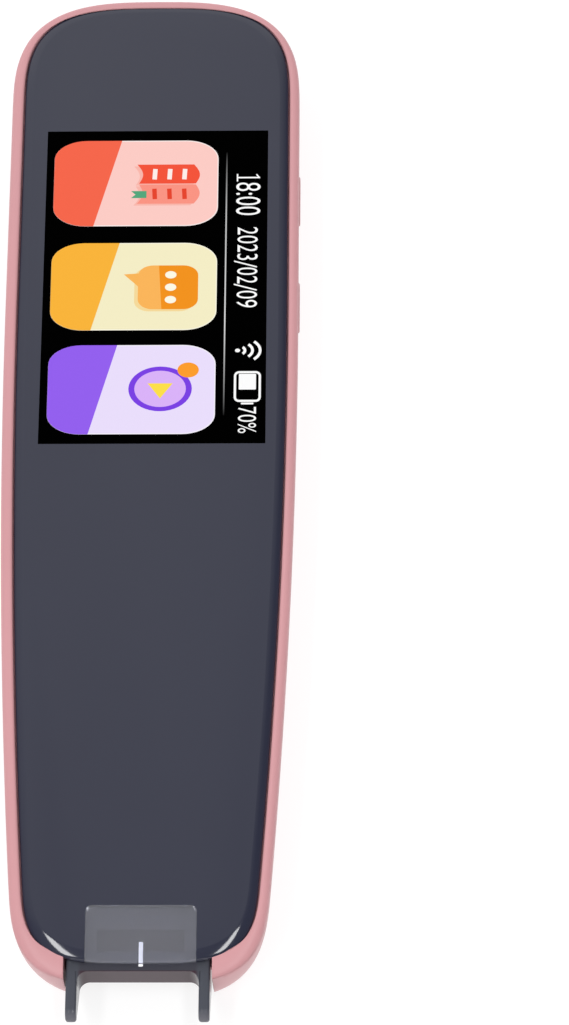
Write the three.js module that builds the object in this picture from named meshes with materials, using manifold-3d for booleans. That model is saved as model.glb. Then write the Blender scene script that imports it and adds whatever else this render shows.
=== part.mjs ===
// Scan reading pen: a two-part case with a full-length cover, a sprung scanning nib and two side keys.
// Millimetres. +Z is the screen side, -Y the nib end, and +X the side with the keys.
// The origin is below the middle of the case, on the plane that its flat back lies on.

import * as THREE from 'three';
import { mergeVertices } from 'three/addons/utils/BufferGeometryUtils.js';
import Module from 'manifold-3d';

const wasm = await Module();
wasm.setup();

// Case: its sides are parallel at the top, draw in towards the nib, and end in two soft corners
const CASE_WIDTH = 44.8;
const CASE_DEPTH = 13;
const TAPER_START = 27.5;
const TAPER_RATE = 0.000414;
const CASE_TOP_END = { centre: 62.5, apex: 81.5, power: 2.98 };
const CASE_TIP_END = { centre: -63, apex: -78.4, power: 3.6 };
const SEAM_HEIGHT = 11.5;
const SEAM_GAP = 0.1;
const WALL = 1.5;
const SIDE_ROUNDING = { reach: 6, power: 2.6 };
const TOP_ROUNDING = { reach: 5, power: 2.8 };
const TIP_ROUNDING = { reach: 3.5, power: 4 };

// Front frame and cover
const RIM_WIDTH = 1.85;
const RIM_HEIGHT = 1.25;
const COVER_TOP_END = { centre: 62.5, apex: 79.7, power: 3.2 };
const COVER_TIP_END = { centre: -62.7, apex: -75.55, power: 3.5 };
const COVER_THICKNESS = 1.25;
const COVER_EDGE_WIDTH = 1.25;
const COVER_EDGE_DROP = 0.5;
const COVER_UNDERSIDE = CASE_DEPTH - COVER_THICKNESS;
const COVER_GAP = 0.1;
const LEDGE_WIDTH = 1.2;
const LEDGE_TOP = COVER_UNDERSIDE - 0.05;
const SKIRT_BOTTOM = 9.8;
const SKIRT_INSET = 1.75;

// Display, seen through the cover
const DISPLAY = { width: 34.4, length: 52.9, x: 0.4, y: 31.5 };
const DISPLAY_LEDGE = 3;
const WINDOW = { width: 16, length: 14, x: 0.4, y: -73.8 };

// Scanning nib: two legs that carry the pen on the page, and a hood over the light path between them.
// The legs slope up to round tips, so that the tilted pen stands flat on the page.
const NIB = { tip: -83.5, front: -76.45, back: -64.5, top: 11.3, bottom: 1.9, travel: 1 };
const LEG = { centre: 9.53, thickness: 1.6, tipRadius: 1.5, slopeStart: -74.7 };
const HOOD = { roof: 1.2, bottom: 5.4, floor: 1, endPlate: 1, filletRadius: 1.5 };
const INDEX_MARK = { width: 0.6, length: 3.5, height: 0.1, setBack: 0.7 };
const NOTCH = { half: 10.65, back: -66, floorFront: -73, cheek: 1.35 };

// What the nib slides with and against, from the nib backwards
const CARRIAGE = { half: 10.2, front: -64.3, back: -62.6, bottom: 2, top: 10.9 };
const CARRIAGE_OPENING = { half: 7.5, bottom: 4.2, top: 9.8 };
const GUIDE = { half: 12, front: -65.7, back: -57.3, bottom: 1.9, top: 9.5, slideHalf: 10.75, wall: 1 };
const NIB_SWITCH = { half: 3, front: -61.2, back: -58.6, bottom: 1.9, top: 4, axis: 2.95 };
const NIB_PLUNGER = { radius: 0.6, front: -62.5, back: -60.5 };
const SPRING = { x: 8.8, z: 7, radius: 1.1, wire: 0.3, front: -62.3, back: -58.5, turns: 4 };

// Camera that looks through the nib, and the two lamps beside it
const CAMERA = { axis: 7.4, barrel: 2.6, barrelFront: -60.3, front: -57.2, back: -52.7 };
const CAMERA_HOUSING = { half: 4, bottom: 4.4, top: 10.4 };
const CAMERA_BOARD = { half: 7, front: -52.6, back: -51.9, bottom: 3.4, top: 10.8 };
const LAMP_BOARD = { half: 7.2, front: -61.2, back: -60.7, bottom: 4.6, top: 10.2 };
const LAMP_SIZE = { width: 2, length: 0.75, height: 1.6 };

// Side keys
const KEY_HEIGHT = 6.8;
const KEY_SIZE = { length: 8.3, height: 2.6 };
const KEY_FACE = CASE_WIDTH / 2 + 0.1;
const KEY_GAP = 0.3;
const POWER_KEY_Y = 48.7;
const HOME_KEY_Y = 30.4;
const KEY_INNER = 19;
const KEY_FLANGE = { thickness: 0.8, overhang: 1.2, height: 3 };
const KEY_SWITCH = { back: 14.7, face: 18.2, boreEnd: 16.6, width: 4.4, height: 3 };
const KEY_PLUNGER = { radius: 0.8, back: 17.7, front: 18.9 };
const KEY_BOARD = { left: 14.2, right: 14.6, back: 23.5, front: 56, bottom: 4.6, top: 8.3 };

// Charging port
const PORT = { width: 8.94, height: 3.26, wall: 0.3, z: 5.53, front: 80.4, back: 73 };
const PORT_SLOT_GAP = 0.23;
const PORT_LAND = { width: 13, height: 5, y: 80.5 };
const TONGUE = { width: 6.69, length: 5.4, height: 0.7 };

// Inside
const BOARD = { left: -17, right: 13, back: -1, front: 79, bottom: 7.2, thickness: 0.8 };
const MID_FRAME = { bottom: 8.5, thickness: 0.6, inset: 2.1 };
const BATTERY = { width: 29, length: 46, height: 5 };
const BATTERY_PLACE = { y: -27.5, z: 1.95 };
const BATTERY_PLUG = { x: -10, y: 1.3, z: 4.6, width: 5, length: 3, height: 2.4 };
const BATTERY_SOCKET = { x: -10, y: 4.4, z: 4.5, width: 6, length: 3, height: 2.6 };
const LEAD_RADIUS = 0.45;
const SPEAKER = { width: 20, length: 14, y: 57, x: -2 };
const SPEAKER_HOLE = { radius: 0.55, pitch: 2.2, rows: 5, longestRow: 7 };
const MICROPHONE_X = -10;
const MICROPHONE_HOLE = 0.5;
const CASE_SCREW_PLACES = [
  { x: -13, y: 68 },
  { x: 13, y: 68 },
  { x: -14.5, y: -54 },
  { x: 14.5, y: -54 },
];
const BOARD_SCREW_PLACES = [
  { x: 10.5, y: 3.2 },
  { x: -14.5, y: 45 },
];
const CASE_SCREW = { shank: 0.75, head: 1.6, headHeight: 0.6 };
const BOARD_SCREW = { shank: 0.7, head: 1.3, headHeight: 0.35 };
const CASE_POST = 2;
const BOARD_POST = 1.8;
const SCREW_END = 3.5;
const SCREW_CLEARANCE = 0.2;

// How finely round shapes are stepped
const END_STEPS = 18;
const SIDE_STEPS = 6;
const ROUNDING_STEPS = 7;
const EDGE_STEPS = 4;
const ROUND_STEPS = 6;

// Finishes
const PINK_SHELL = { color: 0xd8999c, roughness: 0.45, metalness: 0 };
const DARK_COVER = { color: 0x3c3f4b, roughness: 0.1, metalness: 0 };
const SMOKED_CLEAR = { color: 0x55555d, roughness: 0.12, metalness: 0, transparent: true, opacity: 0.8 };
const WHITE_INK = { color: 0xf4f6fc, roughness: 0.5, metalness: 0 };
const BLACK_FILM = { color: 0x1b1d26, roughness: 0.4, metalness: 0 };
const DISPLAY_GLASS = { color: 0x0c0d12, roughness: 0.15, metalness: 0 };
const WHITE_PLASTIC = { color: 0xdfe0e2, roughness: 0.5, metalness: 0 };
const BLACK_PLASTIC = { color: 0x232327, roughness: 0.6, metalness: 0 };
const GREEN_BOARD = { color: 0x1f5a3a, roughness: 0.5, metalness: 0 };
const AMBER_FLEX = { color: 0xb06a1e, roughness: 0.45, metalness: 0 };
const STEEL = { color: 0xb9bcc0, roughness: 0.35, metalness: 1 };
const SILVER_POUCH = { color: 0xc3c6ca, roughness: 0.4, metalness: 0.7 };
const BLACK_RUBBER = { color: 0x1a1a1c, roughness: 0.8, metalness: 0 };
const RED_WIRE = { color: 0xc0282c, roughness: 0.5, metalness: 0 };
const LAMP = { color: 0xf3f0d2, roughness: 0.3, metalness: 0 };
const LENS = { color: 0x2b3140, roughness: 0.05, metalness: 0 };

// Basic shapes

// The turns that lay a flat outline across each axis, its depth running along that axis
const AXIS_FRAMES = {
  x: new THREE.Matrix4().set(0, 0, 1, 0, 1, 0, 0, 0, 0, 1, 0, 0, 0, 0, 0, 1),
  y: new THREE.Matrix4().set(0, 1, 0, 0, 0, 0, 1, 0, 1, 0, 0, 0, 0, 0, 0, 1),
  z: new THREE.Matrix4(),
};

// A straight bar of the given outline. The outline is drawn in Y, Z for axis x, in Z, X for axis y.
function bar(outline, axis, from, to, curveSegments = ROUND_STEPS) {
  const depth = to - from;
  const geometry = new THREE.ExtrudeGeometry(outline, { depth, bevelEnabled: false, curveSegments });
  geometry.translate(0, 0, from);
  return geometry.applyMatrix4(AXIS_FRAMES[axis]);
}

function disc(radius, x = 0, y = 0) {
  const shape = new THREE.Shape();
  shape.absarc(x, y, radius, 0, 2 * Math.PI, false);
  return shape;
}

function roundedRectangle(width, height, radius, x = 0, y = 0) {
  const right = x + width / 2 - radius;
  const left = x - width / 2 + radius;
  const top = y + height / 2 - radius;
  const bottom = y - height / 2 + radius;
  const quarter = Math.PI / 2;
  const shape = new THREE.Shape();
  shape.absarc(right, top, radius, 0, quarter, false);
  shape.absarc(left, top, radius, quarter, 2 * quarter, false);
  shape.absarc(left, bottom, radius, 2 * quarter, 3 * quarter, false);
  shape.absarc(right, bottom, radius, 3 * quarter, 4 * quarter, false);
  shape.closePath();
  return shape;
}

// A plain block, by its size and the middle of its underside
function block({ width, length, height }, { x = 0, y = 0, z = 0 }) {
  const geometry = new THREE.BoxGeometry(width, length, height);
  return geometry.translate(x, y, z + height / 2);
}

// A block between two corners
function span(low, high) {
  const [width, length, height] = high.map((value, axis) => value - low[axis]);
  return block({ width, length, height }, { x: low[0] + width / 2, y: low[1] + length / 2, z: low[2] });
}

// A closed skin through a stack of outlines with the same number of points, lowest first
function loft(layers) {
  const count = layers[0].outline.length;
  const positions = layers.flatMap(({ outline, z }) => outline.flatMap((point) => [point.x, point.y, z]));
  const indices = [];
  for (let start = 0; start < (layers.length - 1) * count; start += count) {
    for (let step = 0; step < count; step += 1) {
      const here = start + step;
      const next = start + ((step + 1) % count);
      indices.push(here, next, next + count, here, next + count, here + count);
    }
  }
  const topStart = (layers.length - 1) * count;
  for (const [a, b, c] of THREE.ShapeUtils.triangulateShape(layers[0].outline, [])) {
    indices.push(c, b, a);
  }
  for (const [a, b, c] of THREE.ShapeUtils.triangulateShape(layers.at(-1).outline, [])) {
    indices.push(topStart + a, topStart + b, topStart + c);
  }
  const geometry = new THREE.BufferGeometry();
  geometry.setAttribute('position', new THREE.Float32BufferAttribute(positions, 3));
  geometry.setIndex(indices);
  return geometry;
}

function prism(outline, bottom, top) {
  return loft([{ outline, z: bottom }, { outline, z: top }]);
}

// Joining and cutting

function toSolid(geometry) {
  const plain = geometry.clone();
  plain.deleteAttribute('normal');
  plain.deleteAttribute('uv');
  const merged = mergeVertices(plain, 1e-4);
  const vertProperties = merged.attributes.position.array;
  const triVerts = new Uint32Array(merged.index.array);
  return new wasm.Manifold(new wasm.Mesh({ numProp: 3, vertProperties, triVerts }));
}

function toGeometry(solid) {
  const { vertProperties, triVerts } = solid.getMesh();
  const geometry = new THREE.BufferGeometry();
  geometry.setAttribute('position', new THREE.BufferAttribute(vertProperties, 3));
  geometry.setIndex(new THREE.BufferAttribute(triVerts, 1));
  return geometry;
}

function join(geometries) {
  return geometries.map(toSolid).reduce((sum, next) => sum.add(next));
}

// One geometry made of some pieces joined, less some others
function shaped(added, removed = []) {
  const whole = join(added);
  return toGeometry(removed.length ? whole.subtract(join(removed)) : whole);
}

function overlapOf(first, second) {
  return toGeometry(toSolid(first).intersect(toSolid(second)));
}

// Outlines of the case

function halfWidthAt(y) {
  return CASE_WIDTH / 2 - TAPER_RATE * Math.max(0, TAPER_START - y) ** 2;
}

// A closed outline, counter-clockwise: the sides at an inset from the case's, and two superellipse ends
function penOutline(inset, topEnd, tipEnd) {
  const points = [];
  const sideAt = (y) => halfWidthAt(y) - inset;
  const addEnd = (end, startAngle) => {
    for (let step = 0; step <= END_STEPS; step += 1) {
      const angle = startAngle + (Math.PI * step) / END_STEPS;
      const across = Math.sign(Math.cos(angle)) * Math.abs(Math.cos(angle)) ** (2 / end.power);
      const along = Math.abs(Math.sin(angle)) ** (2 / end.power);
      const y = THREE.MathUtils.lerp(end.centre, end.apex, along);
      points.push(new THREE.Vector2(sideAt(y) * across, y));
    }
  };
  const addSide = (sign, from, to) => {
    for (let step = 1; step < SIDE_STEPS; step += 1) {
      const y = THREE.MathUtils.lerp(from, to, step / SIDE_STEPS);
      points.push(new THREE.Vector2(sign * sideAt(y), y));
    }
  };
  addEnd(topEnd, 0);
  addSide(-1, topEnd.centre, tipEnd.centre);
  addEnd(tipEnd, Math.PI);
  addSide(1, tipEnd.centre, topEnd.centre);
  return points;
}

function drawIn(end, inset) {
  return { ...end, apex: end.apex - Math.sign(end.apex) * inset };
}

function caseOutline(side, top = side, tip = side) {
  return penOutline(side, drawIn(CASE_TOP_END, top), drawIn(CASE_TIP_END, tip));
}

function coverOutline(inset) {
  return penOutline(RIM_WIDTH + inset, drawIn(COVER_TOP_END, inset), drawIn(COVER_TIP_END, inset));
}

// How far the lower wall has rounded in at a height
function roundingAt({ reach, power }, z) {
  const drop = THREE.MathUtils.clamp((SEAM_HEIGHT - z) / SEAM_HEIGHT, 0, 1);
  return reach * (1 - (1 - drop ** power) ** (1 / power));
}

function shellOutlineAt(z, inset = 0) {
  const roundings = [SIDE_ROUNDING, TOP_ROUNDING, TIP_ROUNDING];
  return caseOutline(...roundings.map((rounding) => roundingAt(rounding, z) + inset));
}

// Heights that follow the rounding of the lower wall, from the seam down to the flat back
function roundingHeight(step) {
  const angle = (Math.PI / 2) * (step / ROUNDING_STEPS);
  return SEAM_HEIGHT * (1 - Math.sin(angle) ** (2 / SIDE_ROUNDING.power));
}

// Back shell

function shellOutside() {
  const layers = [];
  for (let step = ROUNDING_STEPS; step >= 0; step -= 1) {
    const z = roundingHeight(step);
    layers.push({ z, outline: shellOutlineAt(z) });
  }
  return loft(layers);
}

// The hollow follows the outside a little lower down, which keeps the wall even round the bottom edge
function shellHollow() {
  const layers = [];
  const lowering = 0.8 * WALL;
  for (let step = ROUNDING_STEPS; step > 0; step -= 2) {
    const z = roundingHeight(step);
    layers.push({ z: z + WALL, outline: shellOutlineAt(z + WALL - lowering, WALL) });
  }
  layers.push({ z: CASE_DEPTH, outline: caseOutline(WALL) });
  return loft(layers);
}

// The walls that stand on either side of the nib
function shellCheeks() {
  const { half, back, cheek } = NOTCH;
  const bottom = WALL / 2;
  const top = SEAM_HEIGHT - 0.05;
  const sides = [
    span([half, CASE_TIP_END.apex, bottom], [half + cheek, back, top]),
    span([-half - cheek, CASE_TIP_END.apex, bottom], [-half, back, top]),
  ];
  return sides.map((side) => overlapOf(side, shellOutside()));
}

function notchCut() {
  const { half, back, floorFront } = NOTCH;
  return [
    span([-half, NIB.tip, WALL], [half, back, CASE_DEPTH]),
    span([-half, NIB.tip, -1], [half, floorFront, CASE_DEPTH]),
  ];
}

// A screw post that stands on the floor of the shell
function shellPost({ x, y }, radius, top) {
  return bar(disc(radius, x, y), 'z', WALL / 2, top);
}

function screwBore({ x, y }, radius, top) {
  return bar(disc(radius, x, y), 'z', SCREW_END - 0.3, top);
}

function batteryRibs() {
  const rib = { width: 0.9, length: BATTERY.length - 8, height: 3 };
  const fromMiddle = BATTERY.width / 2 + 0.8;
  const forward = 3.5;
  return [-fromMiddle, fromMiddle].map((x) => block(rib, { x, y: BATTERY_PLACE.y + forward, z: WALL / 2 }));
}

function keySlot(y) {
  const slot = roundedRectangle(
    KEY_SIZE.length + 2 * KEY_GAP,
    KEY_SIZE.height + 2 * KEY_GAP,
    KEY_SIZE.height / 2 + KEY_GAP - 0.01,
    y,
    KEY_HEIGHT,
  );
  return bar(slot, 'x', KEY_INNER, CASE_WIDTH);
}

function portCuts() {
  const gap = PORT_SLOT_GAP;
  const radius = PORT.height / 2 + gap - 0.01;
  const slot = roundedRectangle(PORT.height + 2 * gap, PORT.width + 2 * gap, radius, PORT.z, 0);
  const land = roundedRectangle(PORT_LAND.height, PORT_LAND.width, 1.5, PORT.z, 0);
  return [
    bar(slot, 'y', PORT.back, CASE_TOP_END.apex + 1),
    bar(land, 'y', PORT_LAND.y, CASE_TOP_END.apex + 1),
  ];
}

// Sound holes in the back, in staggered rows
function speakerHoles() {
  const { radius, pitch, rows, longestRow } = SPEAKER_HOLE;
  const rowPitch = pitch * Math.sin(Math.PI / 3);
  const middleRow = (rows - 1) / 2;
  const holes = [];
  for (let row = 0; row < rows; row += 1) {
    const fromMiddle = row - middleRow;
    const count = longestRow - Math.abs(fromMiddle);
    for (let hole = 0; hole < count; hole += 1) {
      const x = SPEAKER.x + (hole - (count - 1) / 2) * pitch;
      const y = SPEAKER.y + fromMiddle * rowPitch;
      holes.push(bar(disc(radius, x, y), 'z', -1, WALL + 1, 5));
    }
  }
  return holes;
}

function microphoneHole() {
  return bar(disc(MICROPHONE_HOLE, PORT.z, MICROPHONE_X), 'y', PORT.back, CASE_TOP_END.apex, 4);
}

function backShell() {
  const caseBore = CASE_SCREW.shank + SCREW_CLEARANCE;
  const boardBore = BOARD_SCREW.shank + SCREW_CLEARANCE;
  const midFrameSeat = MID_FRAME.bottom - 0.3;
  const boardSeat = BOARD.bottom - 0.1;
  const walls = toGeometry(toSolid(shellOutside()).subtract(toSolid(shellHollow())));
  const added = [
    walls,
    ...shellCheeks(),
    ...batteryRibs(),
    ...CASE_SCREW_PLACES.map((place) => shellPost(place, CASE_POST, midFrameSeat)),
    ...BOARD_SCREW_PLACES.map((place) => shellPost(place, BOARD_POST, boardSeat)),
  ];
  const removed = [
    ...notchCut(),
    ...CASE_SCREW_PLACES.map((place) => screwBore(place, caseBore, midFrameSeat + 1)),
    ...BOARD_SCREW_PLACES.map((place) => screwBore(place, boardBore, boardSeat + 1)),
    keySlot(POWER_KEY_Y),
    keySlot(HOME_KEY_Y),
    ...portCuts(),
    ...speakerHoles(),
    microphoneHole(),
  ];
  return shaped(added, removed);
}

// Front frame: a rounded rim round the cover, a ledge that the cover lies on, and a skirt inside the shell

function frameRim() {
  const bottom = SEAM_HEIGHT + SEAM_GAP;
  const layers = [];
  for (let step = 0; step <= EDGE_STEPS; step += 1) {
    const angle = (Math.PI / 2) * (step / EDGE_STEPS);
    const inset = RIM_WIDTH * (1 - Math.cos(angle));
    layers.push({ z: bottom + RIM_HEIGHT * Math.sin(angle), outline: caseOutline(inset) });
  }
  return loft(layers);
}

function frontFrame() {
  const { half, back, cheek } = NOTCH;
  const cheekClear = half + cheek + 0.3;
  const skirt = prism(caseOutline(SKIRT_INSET), SKIRT_BOTTOM, LEDGE_TOP);
  const removed = [
    prism(coverOutline(-COVER_GAP), LEDGE_TOP, CASE_DEPTH + 1),
    prism(coverOutline(LEDGE_WIDTH), SKIRT_BOTTOM - 1, CASE_DEPTH),
    span([-half, NIB.tip, SKIRT_BOTTOM - 1], [half, back, CASE_DEPTH]),
    span([-cheekClear, NIB.tip, SKIRT_BOTTOM - 1], [cheekClear, back, SEAM_HEIGHT + SEAM_GAP]),
  ];
  return shaped([frameRim(), skirt], removed);
}

// Cover: a clear plate with a rounded edge, and the dark film behind it with its two windows

function coverGlass() {
  const layers = [{ z: COVER_UNDERSIDE, outline: coverOutline(0) }];
  for (let step = 0; step <= EDGE_STEPS; step += 1) {
    const angle = (Math.PI / 2) * (step / EDGE_STEPS);
    const z = CASE_DEPTH - COVER_EDGE_DROP * (1 - Math.sin(angle));
    layers.push({ z, outline: coverOutline(COVER_EDGE_WIDTH * (1 - Math.cos(angle))) });
  }
  return loft(layers);
}

function coverFilm() {
  const top = COVER_UNDERSIDE - 0.05;
  const bottom = top - 0.2;
  const sheet = prism(coverOutline(LEDGE_WIDTH + 0.2), bottom, top);
  const windows = [DISPLAY, WINDOW].map(({ width, length, x, y }) => {
    return block({ width, length, height: 2 }, { x, y, z: bottom - 1 });
  });
  return shaped([sheet], windows);
}

// Display stack

function displayLayer(bottom, top, border) {
  const width = DISPLAY.width + 2 * border;
  const length = DISPLAY.length + 2 * border + DISPLAY_LEDGE;
  return block({ width, length, height: top - bottom }, { x: DISPLAY.x, y: DISPLAY.y, z: bottom });
}

// A thin strip bent along a path in the Y, Z plane
function bentStrip(path, thickness, left, right) {
  const outer = [];
  const inner = [];
  path.forEach((point, index) => {
    const before = path[Math.max(index - 1, 0)];
    const after = path[Math.min(index + 1, path.length - 1)];
    const along = after.clone().sub(before).normalize();
    const across = new THREE.Vector2(-along.y, along.x).multiplyScalar(thickness / 2);
    outer.push(point.clone().add(across));
    inner.unshift(point.clone().sub(across));
  });
  return bar(new THREE.Shape([...inner, ...outer]), 'x', left, right);
}

// The display's flat cable, folded round from the lower edge of the panel onto the board
function displayFlex() {
  const bendRadius = 1.18;
  const bend = new THREE.Vector2(1.6, 9.37);
  const path = new THREE.Path();
  path.moveTo(2.3, bend.y + bendRadius);
  path.lineTo(bend.x, bend.y + bendRadius);
  path.absarc(bend.x, bend.y, bendRadius, Math.PI / 2, 1.5 * Math.PI, false);
  path.lineTo(7, bend.y - bendRadius);
  return bentStrip(path.getPoints(ROUND_STEPS), 0.15, -7, 7);
}

function midFrame() {
  const { bottom, thickness, inset } = MID_FRAME;
  const [below, above] = [bottom - 1, bottom + 2];
  const [back, front] = [-57, 76];
  const cameraBay = { half: 12.6, front: -50.8 };
  const flexSlot = { half: 8, back: 0, front: 3.2 };
  const plate = overlapOf(
    prism(caseOutline(inset), bottom, bottom + thickness),
    span([-CASE_WIDTH, back, below], [CASE_WIDTH, front, above]),
  );
  const bore = CASE_SCREW.shank + SCREW_CLEARANCE;
  return shaped([plate], [
    span([-cameraBay.half, back - 1, below], [cameraBay.half, cameraBay.front, above]),
    span([-flexSlot.half, flexSlot.back, below], [flexSlot.half, flexSlot.front, above]),
    ...CASE_SCREW_PLACES.map(({ x, y }) => bar(disc(bore, x, y), 'z', below, above)),
  ]);
}

// Boards and what they carry

function mainBoard() {
  const top = BOARD.bottom + BOARD.thickness;
  const board = overlapOf(
    prism(caseOutline(2.6), BOARD.bottom, top),
    span([BOARD.left, BOARD.back, BOARD.bottom - 1], [BOARD.right, BOARD.front, top + 1]),
  );
  const bore = BOARD_SCREW.shank + SCREW_CLEARANCE;
  const postClear = CASE_POST + 0.4;
  const postPlaces = CASE_SCREW_PLACES.filter(({ y }) => y > 0);
  return shaped([board], [
    ...BOARD_SCREW_PLACES.map(({ x, y }) => bar(disc(bore, x, y), 'z', BOARD.bottom - 1, top + 1)),
    ...postPlaces.map(({ x, y }) => bar(disc(postClear, x, y), 'z', BOARD.bottom - 1, top + 1)),
  ]);
}

// A component under the main board
function underBoard(size, place) {
  return block(size, { ...place, z: BOARD.bottom - size.height - 0.05 });
}

function portShell() {
  const { width, height, wall, z, front, back } = PORT;
  const outside = roundedRectangle(height, width, height / 2 - 0.01, z, 0);
  const inside = roundedRectangle(height - 2 * wall, width - 2 * wall, height / 2 - wall - 0.01, z, 0);
  return shaped([bar(outside, 'y', back, front)], [bar(inside, 'y', back + 0.8, front + 1)]);
}

function portTongue() {
  return block(TONGUE, { y: PORT.back + 0.9 + TONGUE.length / 2, z: PORT.z - TONGUE.height / 2 });
}

function screw(size, { x, y }, seat) {
  const head = bar(disc(size.head, x, y), 'z', seat, seat + size.headHeight);
  const shank = bar(disc(size.shank, x, y), 'z', SCREW_END, seat + 0.1);
  const slotLength = size.head * 1.1;
  const slots = [
    block({ width: slotLength, length: 0.35, height: 1 }, { x, y, z: seat + size.headHeight / 2 }),
    block({ width: 0.35, length: slotLength, height: 1 }, { x, y, z: seat + size.headHeight / 2 }),
  ];
  return shaped([head, shank], slots);
}

// Battery and its leads

function batteryCell() {
  const outline = roundedRectangle(BATTERY.height, BATTERY.width, 1, BATTERY_PLACE.z + BATTERY.height / 2, 0);
  const half = BATTERY.length / 2;
  return bar(outline, 'y', BATTERY_PLACE.y - half, BATTERY_PLACE.y + half, 3);
}

function batteryTape() {
  return block({ width: 20, length: 40, height: 0.3 }, { y: BATTERY_PLACE.y, z: WALL + 0.05 });
}

function batteryLead(side) {
  const gap = 0.2;
  const cellEnd = BATTERY_PLACE.y + BATTERY.length / 2 + gap;
  const plugFace = BATTERY_PLUG.y - BATTERY_PLUG.length / 2 - gap;
  const start = new THREE.Vector3(BATTERY_PLUG.x + 2 * side, cellEnd, BATTERY_PLACE.z + 0.6 * BATTERY.height);
  const end = new THREE.Vector3(BATTERY_PLUG.x + side, plugFace, BATTERY_PLUG.z + BATTERY_PLUG.height / 2);
  const straight = new THREE.Vector3(0, 1, 0);
  const points = [start, start.clone().add(straight), end.clone().sub(straight), end];
  const extrudePath = new THREE.CatmullRomCurve3(points);
  const options = { extrudePath, steps: 8, bevelEnabled: false, curveSegments: 4 };
  return new THREE.ExtrudeGeometry(disc(LEAD_RADIUS), options);
}

// Speaker

function roundedRing(width, length, band, bottom, top) {
  const outside = roundedRectangle(width, length, 3, SPEAKER.x, SPEAKER.y);
  outside.holes.push(roundedRectangle(width - 2 * band, length - 2 * band, 2, SPEAKER.x, SPEAKER.y));
  return bar(outside, 'z', bottom, top, 4);
}

function roundedPlate(width, length, bottom, top) {
  return bar(roundedRectangle(width, length, 2, SPEAKER.x, SPEAKER.y), 'z', bottom, top, 4);
}

function speakerBody() {
  const { width, length } = SPEAKER;
  return shaped([roundedPlate(width, length, 2.35, 5.4)], [roundedPlate(width - 3, length - 3, 1, 3.4)]);
}

function speakerCone() {
  const dome = { width: 8, length: 5 };
  return shaped([
    roundedPlate(SPEAKER.width - 3.4, SPEAKER.length - 3.4, 2.9, 3.1),
    roundedPlate(dome.width, dome.length, 2.6, 3),
  ]);
}

// Microphone

function microphoneBoot() {
  const size = { width: 3, length: 2.2, height: 2.6 };
  const boot = block(size, { x: MICROPHONE_X, y: 76.2, z: PORT.z - size.height / 2 });
  return shaped([boot], [bar(disc(MICROPHONE_HOLE, PORT.z, MICROPHONE_X), 'y', 70, 79, 4)]);
}

function microphone() {
  const size = { width: 3.2, length: 1.1, height: 2.4 };
  return block(size, { x: MICROPHONE_X, y: 74.4, z: PORT.z - size.height / 2 });
}

// Camera and lamps

function cameraBarrel() {
  const outline = disc(CAMERA.barrel, CAMERA.axis, 0);
  outline.holes.push(disc(CAMERA.barrel - 0.8, CAMERA.axis, 0));
  return bar(outline, 'y', CAMERA.barrelFront, CAMERA.front - 0.1);
}

function cameraLens() {
  return bar(disc(CAMERA.barrel - 0.9, CAMERA.axis, 0), 'y', CAMERA.barrelFront + 0.3, CAMERA.front - 0.2);
}

// A plate or block that is as wide to the left as to the right
function centred({ half, front, back, bottom, top }) {
  return span([-half, front, bottom], [half, back, top]);
}

function cameraHousing() {
  return centred({ ...CAMERA_HOUSING, front: CAMERA.front, back: CAMERA.back });
}

function lampBoard() {
  const hole = disc(CAMERA.barrel - 0.4, CAMERA.axis, 0);
  const sight = bar(hole, 'y', LAMP_BOARD.front - 1, LAMP_BOARD.back + 1);
  return shaped([centred(LAMP_BOARD)], [sight]);
}

function lamp(x) {
  const y = LAMP_BOARD.front - 0.05 - LAMP_SIZE.length / 2;
  return block(LAMP_SIZE, { x, y, z: CAMERA.axis - LAMP_SIZE.height / 2 });
}

// Nib

function leg(side) {
  const { slopeStart, thickness, tipRadius } = LEG;
  const tip = new THREE.Vector2(NIB.tip + tipRadius, NIB.top - tipRadius);
  const slope = tip.clone().sub(new THREE.Vector2(slopeStart, NIB.bottom));
  const tangent = slope.angle() + Math.asin(tipRadius / slope.length()) + Math.PI / 2;
  const outline = new THREE.Shape();
  outline.moveTo(NIB.back, NIB.bottom);
  outline.lineTo(NIB.back, NIB.top);
  outline.absarc(tip.x, tip.y, tipRadius, Math.PI / 2, tangent, false);
  outline.lineTo(slopeStart, NIB.bottom);
  outline.closePath();
  const middle = side * LEG.centre;
  return bar(outline, 'x', middle - thickness / 2, middle + thickness / 2);
}

// The rounded corner between the end plate and a leg, let a little way into both
function nibFillet(side) {
  const bite = 0.1;
  const radius = HOOD.filletRadius;
  const corner = side * (LEG.centre - LEG.thickness / 2 + bite);
  const centre = corner - side * (radius + bite);
  const fillet = new THREE.Shape();
  fillet.moveTo(corner, NIB.front + bite);
  fillet.lineTo(centre, NIB.front + bite);
  fillet.absarc(centre, NIB.front - radius, radius, Math.PI / 2, side > 0 ? 0 : Math.PI, side > 0);
  fillet.lineTo(corner, NIB.front - radius);
  fillet.closePath();
  return bar(fillet, 'z', HOOD.bottom, NIB.top, 4);
}

function scanNib() {
  const half = LEG.centre;
  const { front, back, top } = NIB;
  const floorTop = HOOD.bottom + HOOD.floor;
  return shaped([
    leg(-1),
    leg(1),
    span([-half, front, top - HOOD.roof], [half, back, top]),
    span([-half, front, HOOD.bottom], [half, NOTCH.back, floorTop]),
    span([-half, front, HOOD.bottom], [half, front + HOOD.endPlate, top]),
    nibFillet(-1),
    nibFillet(1),
  ]);
}

// The white line that shows where the pen reads
function indexMark() {
  const y = NIB.front + INDEX_MARK.setBack + INDEX_MARK.length / 2;
  return block(INDEX_MARK, { x: DISPLAY.x, y, z: NIB.top + 0.02 });
}

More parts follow.
